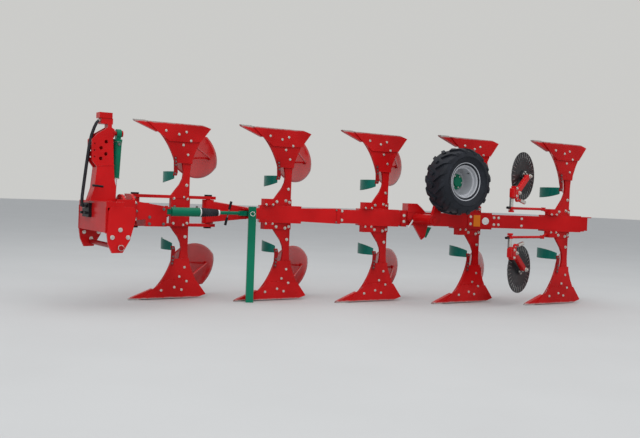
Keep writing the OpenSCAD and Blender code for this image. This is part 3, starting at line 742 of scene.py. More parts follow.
def ring(centre: Vector, axis: Vector, radius: float, count: int, start: float = 0.0) -> list[Vector]:
    """Points around a circle, without the first one again.

    Args:
        centre: The circle's centre.
        axis: The direction that it turns about.
        radius: Its radius in metres.
        count: How many points.
        start: The first point's angle.

    Returns:
        The points.
    """
    ahead = axis.normalized()
    upward = UP if abs(ahead.z) < 0.9 else REARWARD
    one = (upward - upward.project(ahead)).normalized()
    two = ahead.cross(one)
    turns = [start + 2 * math.pi * k / count for k in range(count)]
    return [centre + radius * (math.cos(t) * one + math.sin(t) * two) for t in turns]


def loop(centre: Vector, axis: Vector, radius: float, count: int) -> list[Vector]:
    """Points around a circle that end on the first one again, for a closed line."""
    points = ring(centre, axis, radius, count)
    return [*points, points[0]]


class TubeTree(GeometryTree):
    """Round bars and rings along the carrier's lines."""

    BEND_STEPS = 6

    def __init__(self) -> None:
        """Builds the tree."""
        super().__init__("tubes")
        radius = self.value("Radius", 0.01)
        bend = self.value("Bend Radius", 0.02)
        sides = self.value("Sides", 14)
        finish = self.finish()
        line = self.add("GeometryNodeMeshToCurve", inputs={"Mesh": self.geometry()})
        line = self.add("GeometryNodeFilletCurve", {"mode": "POLY"}, {
            "Curve": line, "Count": self.BEND_STEPS, "Radius": bend, "Limit Radius": True})
        section = self.add("GeometryNodeCurvePrimitiveCircle", inputs={"Resolution": sides, "Radius": radius})
        skin = self.add("GeometryNodeCurveToMesh", inputs={"Curve": line, "Profile Curve": section,
                                                           "Fill Caps": True})
        self.close(skin, finish, smooth=True)


@dataclass(frozen=True)
class Tubes:
    """A set of like round bars or rings that ride on one body."""

    name: str
    body: str
    lines: tuple[Sequence[Vector], ...]
    radius: float
    finish: str = "zinc"
    bend: float = 0.015
    slot: str = "black_steel"

    def build(self, shop: Shop) -> bpy.types.Object:
        """Makes the set and puts it on its body.

        Args:
            shop: The shared trees and finishes.

        Returns:
            The finished object.
        """
        values = {"Radius": self.radius, "Bend Radius": self.bend, "Finish": shop.finishes[self.finish]}
        piece = shop.tubes.run(self.name, lines_mesh(self.name, self.lines), values)
        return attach(piece, self.body)


class WeldTree(GeometryTree):
    """Weld beads: overlapping lumps at an even pitch along the carrier's lines."""

    SMALLEST, LARGEST = 0.85, 1.15

    def __init__(self) -> None:
        """Builds the tree."""
        super().__init__("welds")
        size = self.value("Bead Radius", 0.004)
        pitch = self.value("Pitch", 0.006)
        seed = self.value("Seed", 3)
        finish = self.finish()
        line = self.add("GeometryNodeMeshToCurve", inputs={"Mesh": self.geometry()})
        line = self.add("GeometryNodeResampleCurve", {"mode": "LENGTH"}, {"Curve": line, "Length": pitch})
        lump = self.add("GeometryNodeMeshIcoSphere", inputs={"Radius": size, "Subdivisions": 2})
        spread = self.add("FunctionNodeRandomValue", {"data_type": "FLOAT"}, {
            2: self.SMALLEST, 3: self.LARGEST, "Seed": seed}, output=1)
        beads = self.add("GeometryNodeInstanceOnPoints", inputs={
            "Points": line, "Instance": lump, "Scale": spread})
        self.close(beads, finish, smooth=True)


@dataclass(frozen=True)
class Welds:
    """The weld beads of one body."""

    name: str
    body: str
    lines: tuple[Sequence[Vector], ...]
    finish: str = "red_bright"
    seed: int = 3

    def build(self, shop: Shop) -> bpy.types.Object:
        """Makes the beads and puts them on their body.

        Args:
            shop: The shared trees and finishes.

        Returns:
            The finished object.
        """
        values = {"Seed": self.seed, "Finish": shop.finishes[self.finish]}
        piece = shop.welds.run(self.name, lines_mesh(self.name, self.lines), values)
        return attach(piece, self.body)


class BellowsTree(GeometryTree):
    """A pleated rubber sleeve along X whose folds follow a sine of the way along it."""

    POINTS_ALONG, POINTS_AROUND = 110, 33
    SEAM = 0.0002

    def __init__(self) -> None:
        """Builds the tree."""
        super().__init__("bellows")
        length = self.value("Length", 0.17)
        start = self.value("Start Radius", 0.039)
        end = self.value("End Radius", 0.028)
        depth = self.value("Fold Depth", 0.0045)
        folds = self.value("Folds", 9.0)
        place = self.value("Place", Vector((0.0, 0.0, 0.0)))
        finish = self.finish()
        grid, along, around = self.sheet(self.POINTS_ALONG, self.POINTS_AROUND)
        turn = around * (2 * math.pi)
        radius = start + (end - start) * along + depth * (along * folds * (2 * math.pi)).sine()
        away = self.add("ShaderNodeCombineXYZ", inputs={
            0: along * length, 1: radius * turn.sine(), 2: radius * (turn + math.pi / 2).sine()})
        sheet = self.add("GeometryNodeSetPosition", inputs={
            "Geometry": grid, "Position": away, "Offset": place})
        sheet = self.add("GeometryNodeMergeByDistance", inputs={"Geometry": sheet, "Distance": self.SEAM})
        self.close(sheet, finish, smooth=True)


@dataclass(frozen=True)
class Plate:
    """A small box with softened edges that rides on one body, given by its centre and half-sides."""

    name: str
    body: str
    centre: Vector
    sides: tuple[Vector, Vector, Vector]
    finish: str = "red_bright"
    slot: str = "red_paint"
    softness: float = 0.5
    steps: int = 3

    CORNERS = ((-1, -1, -1), (1, -1, -1), (1, 1, -1), (-1, 1, -1),
               (-1, -1, 1), (1, -1, 1), (1, 1, 1), (-1, 1, 1))
    FACES = ((0, 3, 2, 1), (4, 5, 6, 7), (0, 1, 5, 4), (1, 2, 6, 5), (2, 3, 7, 6), (3, 0, 4, 7))

    def build(self, shop: Shop) -> bpy.types.Object:
        """Makes the box and puts it on its body.

        Args:
            shop: The shared trees and finishes.

        Returns:
            The finished object.
        """
        corners = [self.centre + sum((side * sign for side, sign in zip(self.sides, signs)), Vector())
                   for signs in self.CORNERS]
        mesh = bpy.data.meshes.new(self.name)
        mesh.from_pydata(corners, [], self.FACES)
        mesh.materials.append(shop.finishes[self.finish])
        piece = bpy.data.objects.new(self.name, mesh)
        bpy.context.scene.collection.objects.link(piece)
        bevel = piece.modifiers.new("softened", "BEVEL")
        bevel.width = min(side.length for side in self.sides) * self.softness
        bevel.segments = self.steps
        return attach(piece, self.body)


class BladeTree(GeometryTree):
    """A curved blade between four cubic edges, repeated along the beam and mirrored to the upper row."""

    EDGES = ("Front", "Low", "Top", "Rear")

    def __init__(self) -> None:
        """Builds the tree."""
        super().__init__("blades")
        across = self.value("Cells Along", 36)
        up = self.value("Cells Up", 22)
        points = {edge: [self.value(f"{edge} {k}", Vector((0.0, 0.0, 0.0))) for k in range(4)]
                  for edge in self.EDGES}
        first = self.value("First Place", Vector((0.0, 0.0, 0.0)))
        step = self.value("Step", Vector((0.0, 0.0, 0.0)))
        count = self.value("Count", 1)
        mirror = self.value("Mirror Height", 1.7)
        finish = self.finish()
        grid, u, v = self.sheet(across, up)
        low, top = self._cubic(points["Low"], u), self._cubic(points["Top"], u)
        front, rear = self._cubic(points["Front"], v), self._cubic(points["Rear"], v)
        ruled = self._blend(low, top, v)
        lofted = self._blend(front, rear, u)
        corners = self._blend(self._blend(points["Low"][0], points["Low"][3], u),
                              self._blend(points["Top"][0], points["Top"][3], u), v)
        patch = self.vector("SUBTRACT", self.vector("ADD", ruled, lofted), corners)
        sheet = self.add("GeometryNodeSetPosition", inputs={"Geometry": grid, "Position": patch})
        line = self.add("GeometryNodeMeshLine", inputs={
            "Count": count, "Start Location": first, "Offset": step})
        row = self.add("GeometryNodeInstanceOnPoints", inputs={"Points": line, "Instance": sheet})
        row = self.add("GeometryNodeRealizeInstances", inputs={0: row})
        lift = self.add("ShaderNodeCombineXYZ", inputs={2: mirror})
        upper = self.add("GeometryNodeTransform", inputs={"Geometry": row, "Translation": lift,
                                                          "Scale": (1.0, 1.0, -1.0)})
        upper = self.add("GeometryNodeFlipFaces", inputs={0: upper})
        self.close(self.join(row, upper), finish, smooth=True)

    def _blend(self, first: Term, second: Term, factor: Term) -> Term:
        """Goes from one vector to another."""
        return self.vector("ADD", self.vector("SCALE", first, scale=1.0 - factor),
                           self.vector("SCALE", second, scale=factor))

    def _cubic(self, points: Sequence[Term], t: Term) -> Term:
        """Works out a cubic curve's point.

        Args:
            points: The four control points.
            t: How far along the curve it lies, from 0 to 1.

        Returns:
            The point.
        """
        weights = ((1.0 - t) ** 3.0, 3.0 * t * ((1.0 - t) ** 2.0), 3.0 * (t ** 2.0) * (1.0 - t), t ** 3.0)
        total = self.vector("SCALE", points[0], scale=weights[0])
        for point, weight in zip(points[1:], weights[1:]):
            total = self.vector("ADD", total, self.vector("SCALE", point, scale=weight))
        return total


@dataclass(frozen=True)
class Shop:
    """The shared trees and finishes that every sub-assembly builds with."""

    fasteners: FastenerTree
    tubes: TubeTree
    welds: WeldTree
    blades: BladeTree
    bellows: BellowsTree
    finishes: Finishes


def straight(start: Vector, end: Vector) -> Cubic:
    """A straight line as a cubic curve's four points."""
    return tuple(start.lerp(end, k / 3) for k in range(4))


def cut_cubic(curve: Cubic, start: float, end: float) -> Cubic:
    """Cuts the part between two parameters out of a cubic curve.

    Args:
        curve: The four control points.
        start: Where the part begins.
        end: Where it ends.

    Returns:
        The part's own control points.
    """

    def split(points: Cubic, t: float) -> tuple[Cubic, Cubic]:
        """Cuts a cubic curve in two.

        Args:
            points: The four control points.
            t: Where it is cut.

        Returns:
            The control points of both parts.
        """
        a, b, c, d = points
        ab, bc, cd = a.lerp(b, t), b.lerp(c, t), c.lerp(d, t)
        abc, bcd = ab.lerp(bc, t), bc.lerp(cd, t)
        middle = abc.lerp(bcd, t)
        return (a, ab, abc, middle), (middle, bcd, cd, d)

    tail = split(curve, start)[1]
    return split(tail, (end - start) / (1.0 - start))[0]


@dataclass(frozen=True)
class PloughBodies:
    """The ten plough bodies: boards, shares, trashboards and their bolts.

    Points are millimetres in a body's own drawing, with their zero at the share's point. The
    share's span is given in parameters of the board's low edge, and its drop in metres.
    """

    board_front: tuple[Point, ...] = ((250, 38, 96), (330, 38, 170), (405, 39, 300), (436, 44, 425))
    board_low: tuple[Point, ...] = ((250, 38, 96), (400, 190, 58), (560, 340, 60), (905, 384, 95))
    board_top: tuple[Point, ...] = ((436, 44, 425), (545, 128, 515), (830, 290, 610), (1045, 455, 395))
    board_rear: tuple[Point, ...] = ((905, 384, 95), (1000, 400, 180), (1060, 430, 290), (1045, 455, 395))
    share_span: Pair = (0.042, 0.62)
    share_drop: float = 0.003
    share_line: tuple[Point, Point] = ((48, 14, 7), (560, 352, 8))
    point_side: float = 56.2
    trash_low: tuple[Point, ...] = (
        (414.6, 12, 472), (359, 100.8, 472), (362.1, 214.4, 472), (422.6, 300, 472))
    trash_rise: tuple[float, ...] = (68, 106, 108, 108)
    cells: tuple[int, int] = (36, 22)
    plow_bolts: tuple[Point, ...] = (
        (318, 0, 88), (451, 0, 115), (525, 0, 89), (575, 0, 171), (503, 12, 215), (553, 12, 306))
    leg_bolts: tuple[Point, ...] = ((423, 14, 728), (523, 14, 716), (564, 14, 731), (555, 26, 601))
    strap_bolts: tuple[Point, ...] = ((421, 0, 346), (426, 0, 378), (428, 0, 410), (424, 0, 492))
    strap_size: float = 0.62
    seat_bolts: tuple[Point, ...] = ((300, 0, 758), (374, 0, 758))
    seat_size: float = 0.8
    bead_runs: tuple[Point, ...] = ((406, 586, 13.0), (284, 394, -1.0))
    bead_z: float = 764.0

    GROUPS = (("first", "turning_frame", range(1)), ("beam", "main_beam", range(1, LAYOUT.bodies)))
    DRESS = {"boards": ("red_board", "red_paint", 0.009), "shares": ("red_gloss", "red_paint", 0.009),
             "trashboards": ("green_plastic", "green_paint", 0.008)}

    def _between(self, low: Cubic, top: Cubic) -> dict[str, Cubic]:
        """The four edges of a patch whose front and rear are straight."""
        return {"Low": low, "Top": top, "Front": straight(low[0], top[0]), "Rear": straight(low[3], top[3])}

    def _curves(self) -> dict[str, dict[str, Cubic]]:
        """Works out the edges of each kind of blade.

        Returns:
            The four edges of the boards, the shares and the trashboards, in metres.
        """
        board = {"Front": metres(self.board_front), "Low": metres(self.board_low),
                 "Top": metres(self.board_top), "Rear": metres(self.board_rear)}
        start, end = metres(self.share_line)
        side_from, side_to = (point[1] for point in self.share_line)
        low = straight(start.lerp(end, (self.point_side - side_from) / (side_to - side_from)), end)
        top = tuple(point - self.share_drop * UP for point in cut_cubic(board["Low"], *self.share_span))
        foot = metres(self.trash_low)
        crest = tuple(point + rise * MM * UP for point, rise in zip(foot, self.trash_rise))
        return {"boards": board, "shares": self._between(low, top), "trashboards": self._between(foot, crest)}

    def _blades(self, shop: Shop) -> None:
        """Makes the boards, shares and trashboards and lets them stand for the CAD ones.

        Args:
            shop: The shared trees and finishes.
        """
        for kind, curves in self._curves().items():
            finish, slot, thickness = self.DRESS[kind]
            for group, body, indices in self.GROUPS:
                name = f"{group}_{kind}_skin"
                values = {"First Place": LAYOUT.at(0, 0, 0) + LAYOUT.step * indices[0] * MM,
                          "Step": LAYOUT.step * MM, "Count": len(indices),
                          "Mirror Height": 2 * LAYOUT.beam_z * MM, "Finish": shop.finishes[finish],
                          "Cells Along": self.cells[0], "Cells Up": self.cells[1]}
                for edge, points in curves.items():
                    values |= {f"{edge} {k}": point for k, point in enumerate(points)}
                piece = shop.blades.run(name, bpy.data.meshes.new(name), values)
                wall = piece.modifiers.new("wall", "SOLIDIFY")
                wall.thickness, wall.offset = thickness, 1.0
                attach(piece, body)
                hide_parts(f"{group}_{kind}")

    def _rows(self, indices: Iterable[int], table: Iterable[Point],
              size: float = 1.0) -> tuple[Fastener, ...]:
        """Places a body's bolts on both rows of the given bodies."""
        return tuple((LAYOUT.on_body(index, row, *spot), NEAR, size)
                     for index in indices for row in Row for spot in table)

    def build(self, shop: Shop) -> None:
        """Builds the bodies' own pieces and dresses the CAD ones.

        Args:
            shop: The shared trees and finishes.
        """
        self._blades(shop)
        for group, body, indices in self.GROUPS:
            Bolts(f"{group}_plow_bolts", body, self._rows(indices, self.plow_bolts), head=Head.ROUND,
                  radius=0.0105, height=0.005, washer=0.0125, stud=0.002).build(shop)
            rows = self._rows(indices, self.leg_bolts)
            if group == "beam":
                rows += self._rows(indices, self.seat_bolts, self.seat_size)
            Bolts(f"{group}_leg_bolts", body, rows, radius=0.0115).build(shop)
            rows = self._rows(indices, self.strap_bolts, self.strap_size)
            Bolts(f"{group}_strap_bolts", body, rows, finish="dark_zinc").build(shop)
            dress = shop.finishes.dress
            dress("red_gloss", f"{group}_legs", f"{group}_frogs", f"{group}_landsides", f"{group}_points")
            dress("red_bright", f"{group}_struts")
            # The trash straps take the darker copy of the red paint, as painted shade.
            dress("red_painted_shade", f"{group}_trash_straps")
        beads = tuple([LAYOUT.on_body(index, row, x, y, self.bead_z) for x in (start, end)]
                      for index in range(1, LAYOUT.bodies) for row in Row for start, end, y in self.bead_runs)
        Welds("bracket_welds", "main_beam", beads, "red_gloss").build(shop)


@dataclass(frozen=True)
class Headstock:
    """Tower, cross box, link plates, hoses and the turnover parts.

    Places and reaches are the working frame's millimetres, but the radii and the port's reach
    are metres.
    """

    plate_bolts: tuple[Pair, ...] = ((-337, 698), (-404, 634), (-269, 635))
    plate_y: float = -732.5
    far_bolts: tuple[Pair, ...] = ((-337, 575), (-404, 634), (-269, 635), (-390, 792))
    far_y: float = 107.5
    far_back_y: float = 132.5
    hub_bolts: tuple[Pair, ...] = ((28, 740), (160, 740), (28, 800), (160, 875))
    hub_y: float = -420.0
    flange_x: float = -106.0
    flange_radius: float = 0.134
    flange_bolt_count: int = 12
    bearing_x: float = -135.0
    bearing_reach: Pair = (172, 76)
    hose_gap: float = 15.0
    ferrules: tuple[tuple[Point, Point], ...] = (
        ((-410, -300, 1636), (-426, -300, 1632)), ((-483, -186, 872), (-500, -186, 872)))
    coupling_x: Pair = (-481, -507)
    coupling_y: tuple[float, ...] = (-258, -226, -138, -112)
    coupling_z: Pair = (822, 884)
    lever: tuple[Point, ...] = (
        (-470, -366, 1064), (-486, -420, 1062), (-470, -452, 1062), (-408, -452, 1056))
    pin_x: float = -335.0
    pin_z: float = 548.0
    clip_sides: tuple[Pair, ...] = ((-1, -762), (1, 162))
    clip_tilt: float = 0.35
    clip_radius: float = 0.024
    rod_top: Point = (-242, -300, 1530)
    lean: float = math.radians(8.378)
    cylinder_rings: tuple[Pair, ...] = ((66, 72), (392, 399))
    port_down: float = 96.0
    port_reach: float = 0.058
    cheek_y: Pair = (-371, -229)
    cheek_run: Point = (-454, -302, 931)
    box_y: Pair = (-706.5, 106.5)
    box_runs: tuple[tuple[Pair, Pair], ...] = (
        ((-456, 672), (-456, 880)), ((-299, 672), (-299, 880)), ((-454, 670), (-302, 670)))
    bridge_x: float = -299.0
    bridge_y: tuple[float, ...] = (-501, -479, -121, -99)
    bridge_rise: Pair = (-98, 78)
    neck_run: tuple[Point, Point] = ((-442, -371, 1236), (-296, -371, 1246))

    def _on_cylinder(self, down: float) -> Vector:
        """A point of the turnover cylinder's axis, so far below its upper eye."""
        x, y, z = self.rod_top
        return LAYOUT.at(x, y + down * math.sin(self.lean), z - down * math.cos(self.lean))

    def _fasteners(self, shop: Shop) -> None:
        """Adds the headstock's and the hub's bolts.

        Args:
            shop: The shared trees and finishes.
        """
        at = LAYOUT.at
        rows = tuple((at(x, self.plate_y, z), NEAR, 1.25) for x, z in self.plate_bolts)
        rows += tuple((at(x, self.far_y, z), NEAR, 1.15) for x, z in self.far_bolts)
        rows += tuple((at(x, self.far_back_y, z), -NEAR, 1.15) for x, z in self.plate_bolts)
        Bolts("link_plate_bolts", "headstock", rows).build(shop)
        rows = tuple((at(x, self.hub_y, z), NEAR, 0.9) for x, z in self.hub_bolts)
        flange = at(self.flange_x, LAYOUT.hitch_y, LAYOUT.beam_z)
        rows += tuple((spot, REARWARD, 1.1)
                      for spot in ring(flange, REARWARD, self.flange_radius, self.flange_bolt_count))
        Bolts("hub_bolts", "turning_frame", rows, "dark_zinc").build(shop)
        across, up = self.bearing_reach
        rows = tuple((at(self.bearing_x, LAYOUT.hitch_y + y, LAYOUT.beam_z + z), REARWARD, 1.2)
                     for y in (-across, across) for z in (-up, up))
        Bolts("bearing_bolts", "headstock", rows).build(shop)

    def _hoses(self, shop: Shop) -> None:
        """Adds the ferrules at the hoses' ends and the couplings on their block.

        Args:
            shop: The shared trees and finishes.
        """
        ends = tuple([LAYOUT.at(x, y + side, z) for x, y, z in line]
                     for line in self.ferrules for side in (-self.hose_gap, self.hose_gap))
        Tubes("hose_ferrules", "headstock", ends, radius=0.0125).build(shop)
        plugs = tuple([LAYOUT.at(x, y, z) for x in self.coupling_x]
                      for y in self.coupling_y for z in self.coupling_z)
        Tubes("hose_couplings", "headstock", plugs, radius=0.011, finish="black_paint").build(shop)

    def _trim(self, shop: Shop) -> None:
        """Adds the lever, the link pins' clips, and the cylinder's rings and port.

        Args:
            shop: The shared trees and finishes.
        """
        Tubes("tower_lever", "headstock", (LAYOUT.line(*self.lever),), radius=0.010,
              finish="black_paint").build(shop)
        clips = tuple(loop(LAYOUT.at(self.pin_x, y, self.pin_z), Vector((0.0, side, self.clip_tilt)),
                           self.clip_radius, CLIP_POINTS) for side, y in self.clip_sides)
        Tubes("link_pin_clips", "headstock", clips, CLIP_WIRE).build(shop)
        rings = tuple([self._on_cylinder(down) for down in span] for span in self.cylinder_rings)
        Tubes("turn_cylinder_rings", "turn_cylinder", rings, radius=0.0405).build(shop)
        port = self._on_cylinder(self.port_down)
        Tubes("turn_cylinder_port", "turn_cylinder", ([port, port + NEAR * self.port_reach],), radius=0.012,
              finish="dark_zinc").build(shop)

    def _beads(self, shop: Shop) -> None:
        """Adds the weld beads of the tower, the cross box and the bearing's bridge.

        Args:
            shop: The shared trees and finishes.
        """
        line = LAYOUT.line
        front, rear, height = self.cheek_run
        lines = [line((front, y, height), (rear, y, height)) for y in self.cheek_y]
        lines += [line(*((x, y, z) for x, z in run)) for y in self.box_y for run in self.box_runs]
        low, high = (LAYOUT.beam_z + rise for rise in self.bridge_rise)
        lines += [line((self.bridge_x, y, low), (self.bridge_x, y, high)) for y in self.bridge_y]
        lines.append(line(*self.neck_run))
        Welds("headstock_welds", "headstock", tuple(lines)).build(shop)

    def build(self, shop: Shop) -> None:
        """Dresses the headstock and adds its small parts.

        Args:
            shop: The shared trees and finishes.
        """
        self._fasteners(shop)
        self._hoses(shop)
        self._trim(shop)
        self._beads(shop)
        dress = shop.finishes.dress
        dress("red_bright", "tower", "tower_webs", "hitch_box", "link_plates", "cap_block", "turning_hub",
              "front_link")
        # The link shaft takes the darker copy of the red paint, as painted shade.
        dress("red_painted_shade", "link_shaft")
        dress("soft_rubber", "hoses")
        dress("black_paint", "hose_block", "pivot_pins")
        dress("green_gloss", "turn_barrel")
        dress("rod_chrome", "turn_rod")


@dataclass(frozen=True)
class SwingDrive:
    """The cylinder that swings the beam: its sleeve, rings and the turnbuckle's bar.

    Places are millimetres behind the cylinder's front eye and over its axis. Each bar has its
    name, body, radius in metres, finish and lines.
    """

    front_x: float = 230.0
    sleeve_at: float = 340.0
    bars: tuple[tuple[str, str, float, str, tuple[tuple[Pair, Pair], ...]], ...] = (
        ("swing_cylinder_ring", "swing_cylinder", 0.0436, "sign_white", (((324, 0), (336, 0)),)),
        ("swing_ports", "swing_cylinder", 0.011, "dark_zinc", (((78, 36), (78, 58)), ((300, 36), (300, 58)))),
        ("swing_lock_nut", "swing_piston", 0.0275, "sign_white", (((514, 0), (530, 0)),)),
        ("turnbuckle_bar", "swing_piston", 0.006, "dark_zinc", (((598, -112), (652, 106)),)),
        ("turnbuckle_grips", "swing_piston", 0.0125, "black_paint",
         (((596, -118), (614, -44)), ((634, 34), (653, 110)))),
    )

    SLEEVE = {"Length": 0.172, "Start Radius": 0.041, "End Radius": 0.0315, "Fold Depth": 0.0042,
              "Folds": 8.0}

    def _at(self, along: float, up: float = 0.0) -> Vector:
        """A point given from the cylinder's front eye."""
        return LAYOUT.at(self.front_x + along, LAYOUT.hitch_y, LAYOUT.beam_z + up)

    def build(self, shop: Shop) -> None:
        """Dresses the cylinder and adds its small parts.

        Args:
            shop: The shared trees and finishes.
        """
        values = self.SLEEVE | {"Place": self._at(self.sleeve_at), "Finish": shop.finishes["soft_rubber"]}
        sleeve = shop.bellows.run("swing_sleeve", bpy.data.meshes.new("swing_sleeve"), values)
        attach(sleeve, "swing_piston")
        for name, body, radius, finish, lines in self.bars:
            Tubes(name, body, tuple([self._at(*spot) for spot in line] for line in lines), radius,
                  finish).build(shop)
        shop.finishes.dress("green_gloss", "swing_barrel", "turnbuckle")
        shop.finishes.dress("soft_rubber", "swing_rod")


@dataclass(frozen=True)
class Beam:
    """The main beam, its joints, signs, stand and the wheel's bracket.

    Places are millimetres along the beam, across it and over its centre. The reflector's
    half-sides and the clip's radius are metres.
    """

    near_n: float = -70.0
    plate_step: float = 10.0
    plate_bolts: tuple[Pair, ...] = (
        (2945, 40), (2945, -33), (3200, 38), (3200, -33), (3250, 38), (3250, -33))
    rear_bolts: tuple[Pair, ...] = ((3510, 37), (3510, -37))
    flange_side_bolts: tuple[Pair, ...] = ((1592, 54), (1592, -37))
    collar_step: float = 14.0
    collar_bolts: tuple[Pair, ...] = ((2232, -30), (2232, 30))
    flange_s: float = 1540.0
    flange_reach: Pair = (72, 60)
    reflector: Point = (3012, -83, 0)
    reflector_half: Point = (0.036, 0.003, 0.058)
    sign: Point = (3106, -80, 0)
    rod: tuple[Point, ...] = ((2336, -104, 16), (2310, -124, -22), (2270, -122, -92))
    pins: tuple[tuple[Point, float], ...] = (
        ((2436, -110, -21), 1.5), ((2290, -110, 2), 1.2), ((2418, -110, -178), 0.9))
    bead_n: float = -71.0
    side_beads: tuple[Pair, ...] = ((1537, 70), (1579, 64), (2202, 64), (2262, 64))
    bracket_bead: tuple[Point, Point] = ((2258, -111, 70), (2362, -111, 70))
    stand_clip: Point = (677, -278, 0)
    clip_tilt: float = 0.4
    clip_radius: float = 0.022

    def _bolts(self, shop: Shop) -> None:
        """Adds the bolts of the near face and of the flange joint.

        Args:
            shop: The shared trees and finishes.
        """
        on, side = LAYOUT.on_beam, LAYOUT.beam_side()
        rows = [(on(s, self.near_n - self.plate_step, z), side, 0.9) for s, z in self.plate_bolts]
        rows += [(on(s, self.near_n, z), side, 0.9) for s, z in self.rear_bolts + self.flange_side_bolts]
        rows += [(on(s, self.near_n - self.collar_step, z), side, 1.0) for s, z in self.collar_bolts]
        Bolts("beam_side_bolts", "main_beam", tuple(rows)).build(shop)
        across, up = self.flange_reach
        rows = [(on(self.flange_s, n, z), -LAYOUT.beam_run(), 0.8)
                for n in (-across, across) for z in (-up, up)]
        Bolts("flange_bolts", "main_beam", tuple(rows), "dark_zinc").build(shop)

    def _signs(self, shop: Shop) -> None:
        """Adds the orange reflector and the round white sign, which stays bare.

        Args:
            shop: The shared trees and finishes.
        """
        side = LAYOUT.beam_side()
        along, thick, high = self.reflector_half
        Plate("reflector", "main_beam", LAYOUT.on_beam(*self.reflector),
              (LAYOUT.beam_run() * along, side * thick, UP * high), "reflector_orange").build(shop)
        Bolts("round_sign", "main_beam", ((LAYOUT.on_beam(*self.sign), side, 1.0),), "sign_white", Head.SIGN,
              radius=0.0355, height=0.0015, washer=0.038, stud=0.0004).build(shop)

    def _wheel_bracket(self, shop: Shop) -> None:
        """Adds the bracket's bent rod and its pins.

        Args:
            shop: The shared trees and finishes.
        """
        rod = ([LAYOUT.on_beam(*spot) for spot in self.rod],)
        Tubes("bracket_rod", "main_beam", rod, radius=0.009, finish="sign_white").build(shop)
        rows = tuple((LAYOUT.on_beam(*spot), LAYOUT.beam_side(), size) for spot, size in self.pins)
        Bolts("bracket_pins", "main_beam", rows, "red_bright", Head.ROUND, washer=0.017).build(shop)

    def build(self, shop: Shop) -> None:
        """Dresses the beam and adds its bolts, signs, beads and the stand's clip.

        Args:
            shop: The shared trees and finishes.
        """
        self._bolts(shop)
        self._signs(shop)
        self._wheel_bracket(shop)
        on = LAYOUT.on_beam
        beads = tuple([on(s, self.bead_n, -z), on(s, self.bead_n, z)] for s, z in self.side_beads)
        beads += ([on(*spot) for spot in self.bracket_bead],)
        Welds("beam_welds", "main_beam", beads, seed=7).build(shop)
        tilted = LAYOUT.beam_side() + self.clip_tilt * UP
        clip = loop(on(*self.stand_clip), tilted, self.clip_radius, CLIP_POINTS)
        Tubes("stand_clip", "stand", (clip,), CLIP_WIRE).build(shop)
        shop.finishes.dress("red_bright", "beam_head", "front_beam", "rear_beam", "beam_joints",
                            "body_brackets", "stand_bracket", "wheel_bracket", "wheel_arm")
        shop.finishes.dress("green_gloss", "stand_leg", "depth_block")


@dataclass(frozen=True)
class Wheel:
    """The depth wheel: nuts, valve and the moulded rings of its tyre and rim.

    Faces are millimetres from the wheel's middle towards the viewer, circles are radii in metres.
    """

    centre: Point = (2800.1, -1345.0, 1235.0)
    nut_face: float = -60.0
    nut_circle: float = 0.094
    nut_height: float = 0.014
    cap_face: float = -22.0
    cap_circle: float = 0.060
    cap_turn: float = 0.4
    stud_count: int = 6
    tyre_face: float = 147.5
    tyre_circles: Pair = (0.243, 0.232)
    tyre_points: int = 72
    rim_circles: tuple[Pair, ...] = ((112, 0.181), (76, 0.168))
    rim_points: int = 64
    valve: tuple[Point, Point] = ((98, -8, 88), (92, -52, 84))

    def _at(self, toward: float) -> Vector:
        """A point on the axle, so far from the wheel's middle towards the viewer."""
        x, y, z = self.centre
        return LAYOUT.at(x, y - toward, z)

    def build(self, shop: Shop) -> None:
        """Dresses the wheel and adds its small parts.

        Args:
            shop: The shared trees and finishes.
        """
        nuts = ring(self._at(self.nut_face), NEAR, self.nut_circle, self.stud_count)
        Bolts("wheel_nuts", "wheel", tuple((spot, NEAR, 1.0) for spot in nuts), height=self.nut_height,
              washer=0.014).build(shop)
        caps = ring(self._at(self.cap_face), NEAR, self.cap_circle, self.stud_count, self.cap_turn)
        Bolts("hub_cap_bolts", "wheel", tuple((spot, NEAR, 0.55) for spot in caps)).build(shop)
        lines = tuple(loop(self._at(side * self.tyre_face), NEAR, radius, self.tyre_points)
                      for side in (-1, 1) for radius in self.tyre_circles)
        Tubes("tyre_rings", "wheel", lines, radius=0.0022, finish="tyre_rubber", bend=0.0,
              slot="tyre_rubber").build(shop)
        lines = tuple(loop(self._at(toward), NEAR, radius, self.rim_points)
                      for toward, radius in self.rim_circles)
        Tubes("rim_rings", "wheel", lines, radius=0.005, finish="silver_paint", bend=0.0,
              slot="silver_rim").build(shop)
        x, y, z = self.centre
        valve = LAYOUT.line(*((x + back, y + side, z + up) for back, side, up in self.valve))
        Tubes("tyre_valve", "wheel", (valve,), radius=0.004, finish="black_paint").build(shop)
        shop.finishes.dress("tyre_rubber", "tyre")
        shop.finishes.dress("silver_paint", "rim")
        shop.finishes.dress("green_gloss", "wheel_hub")


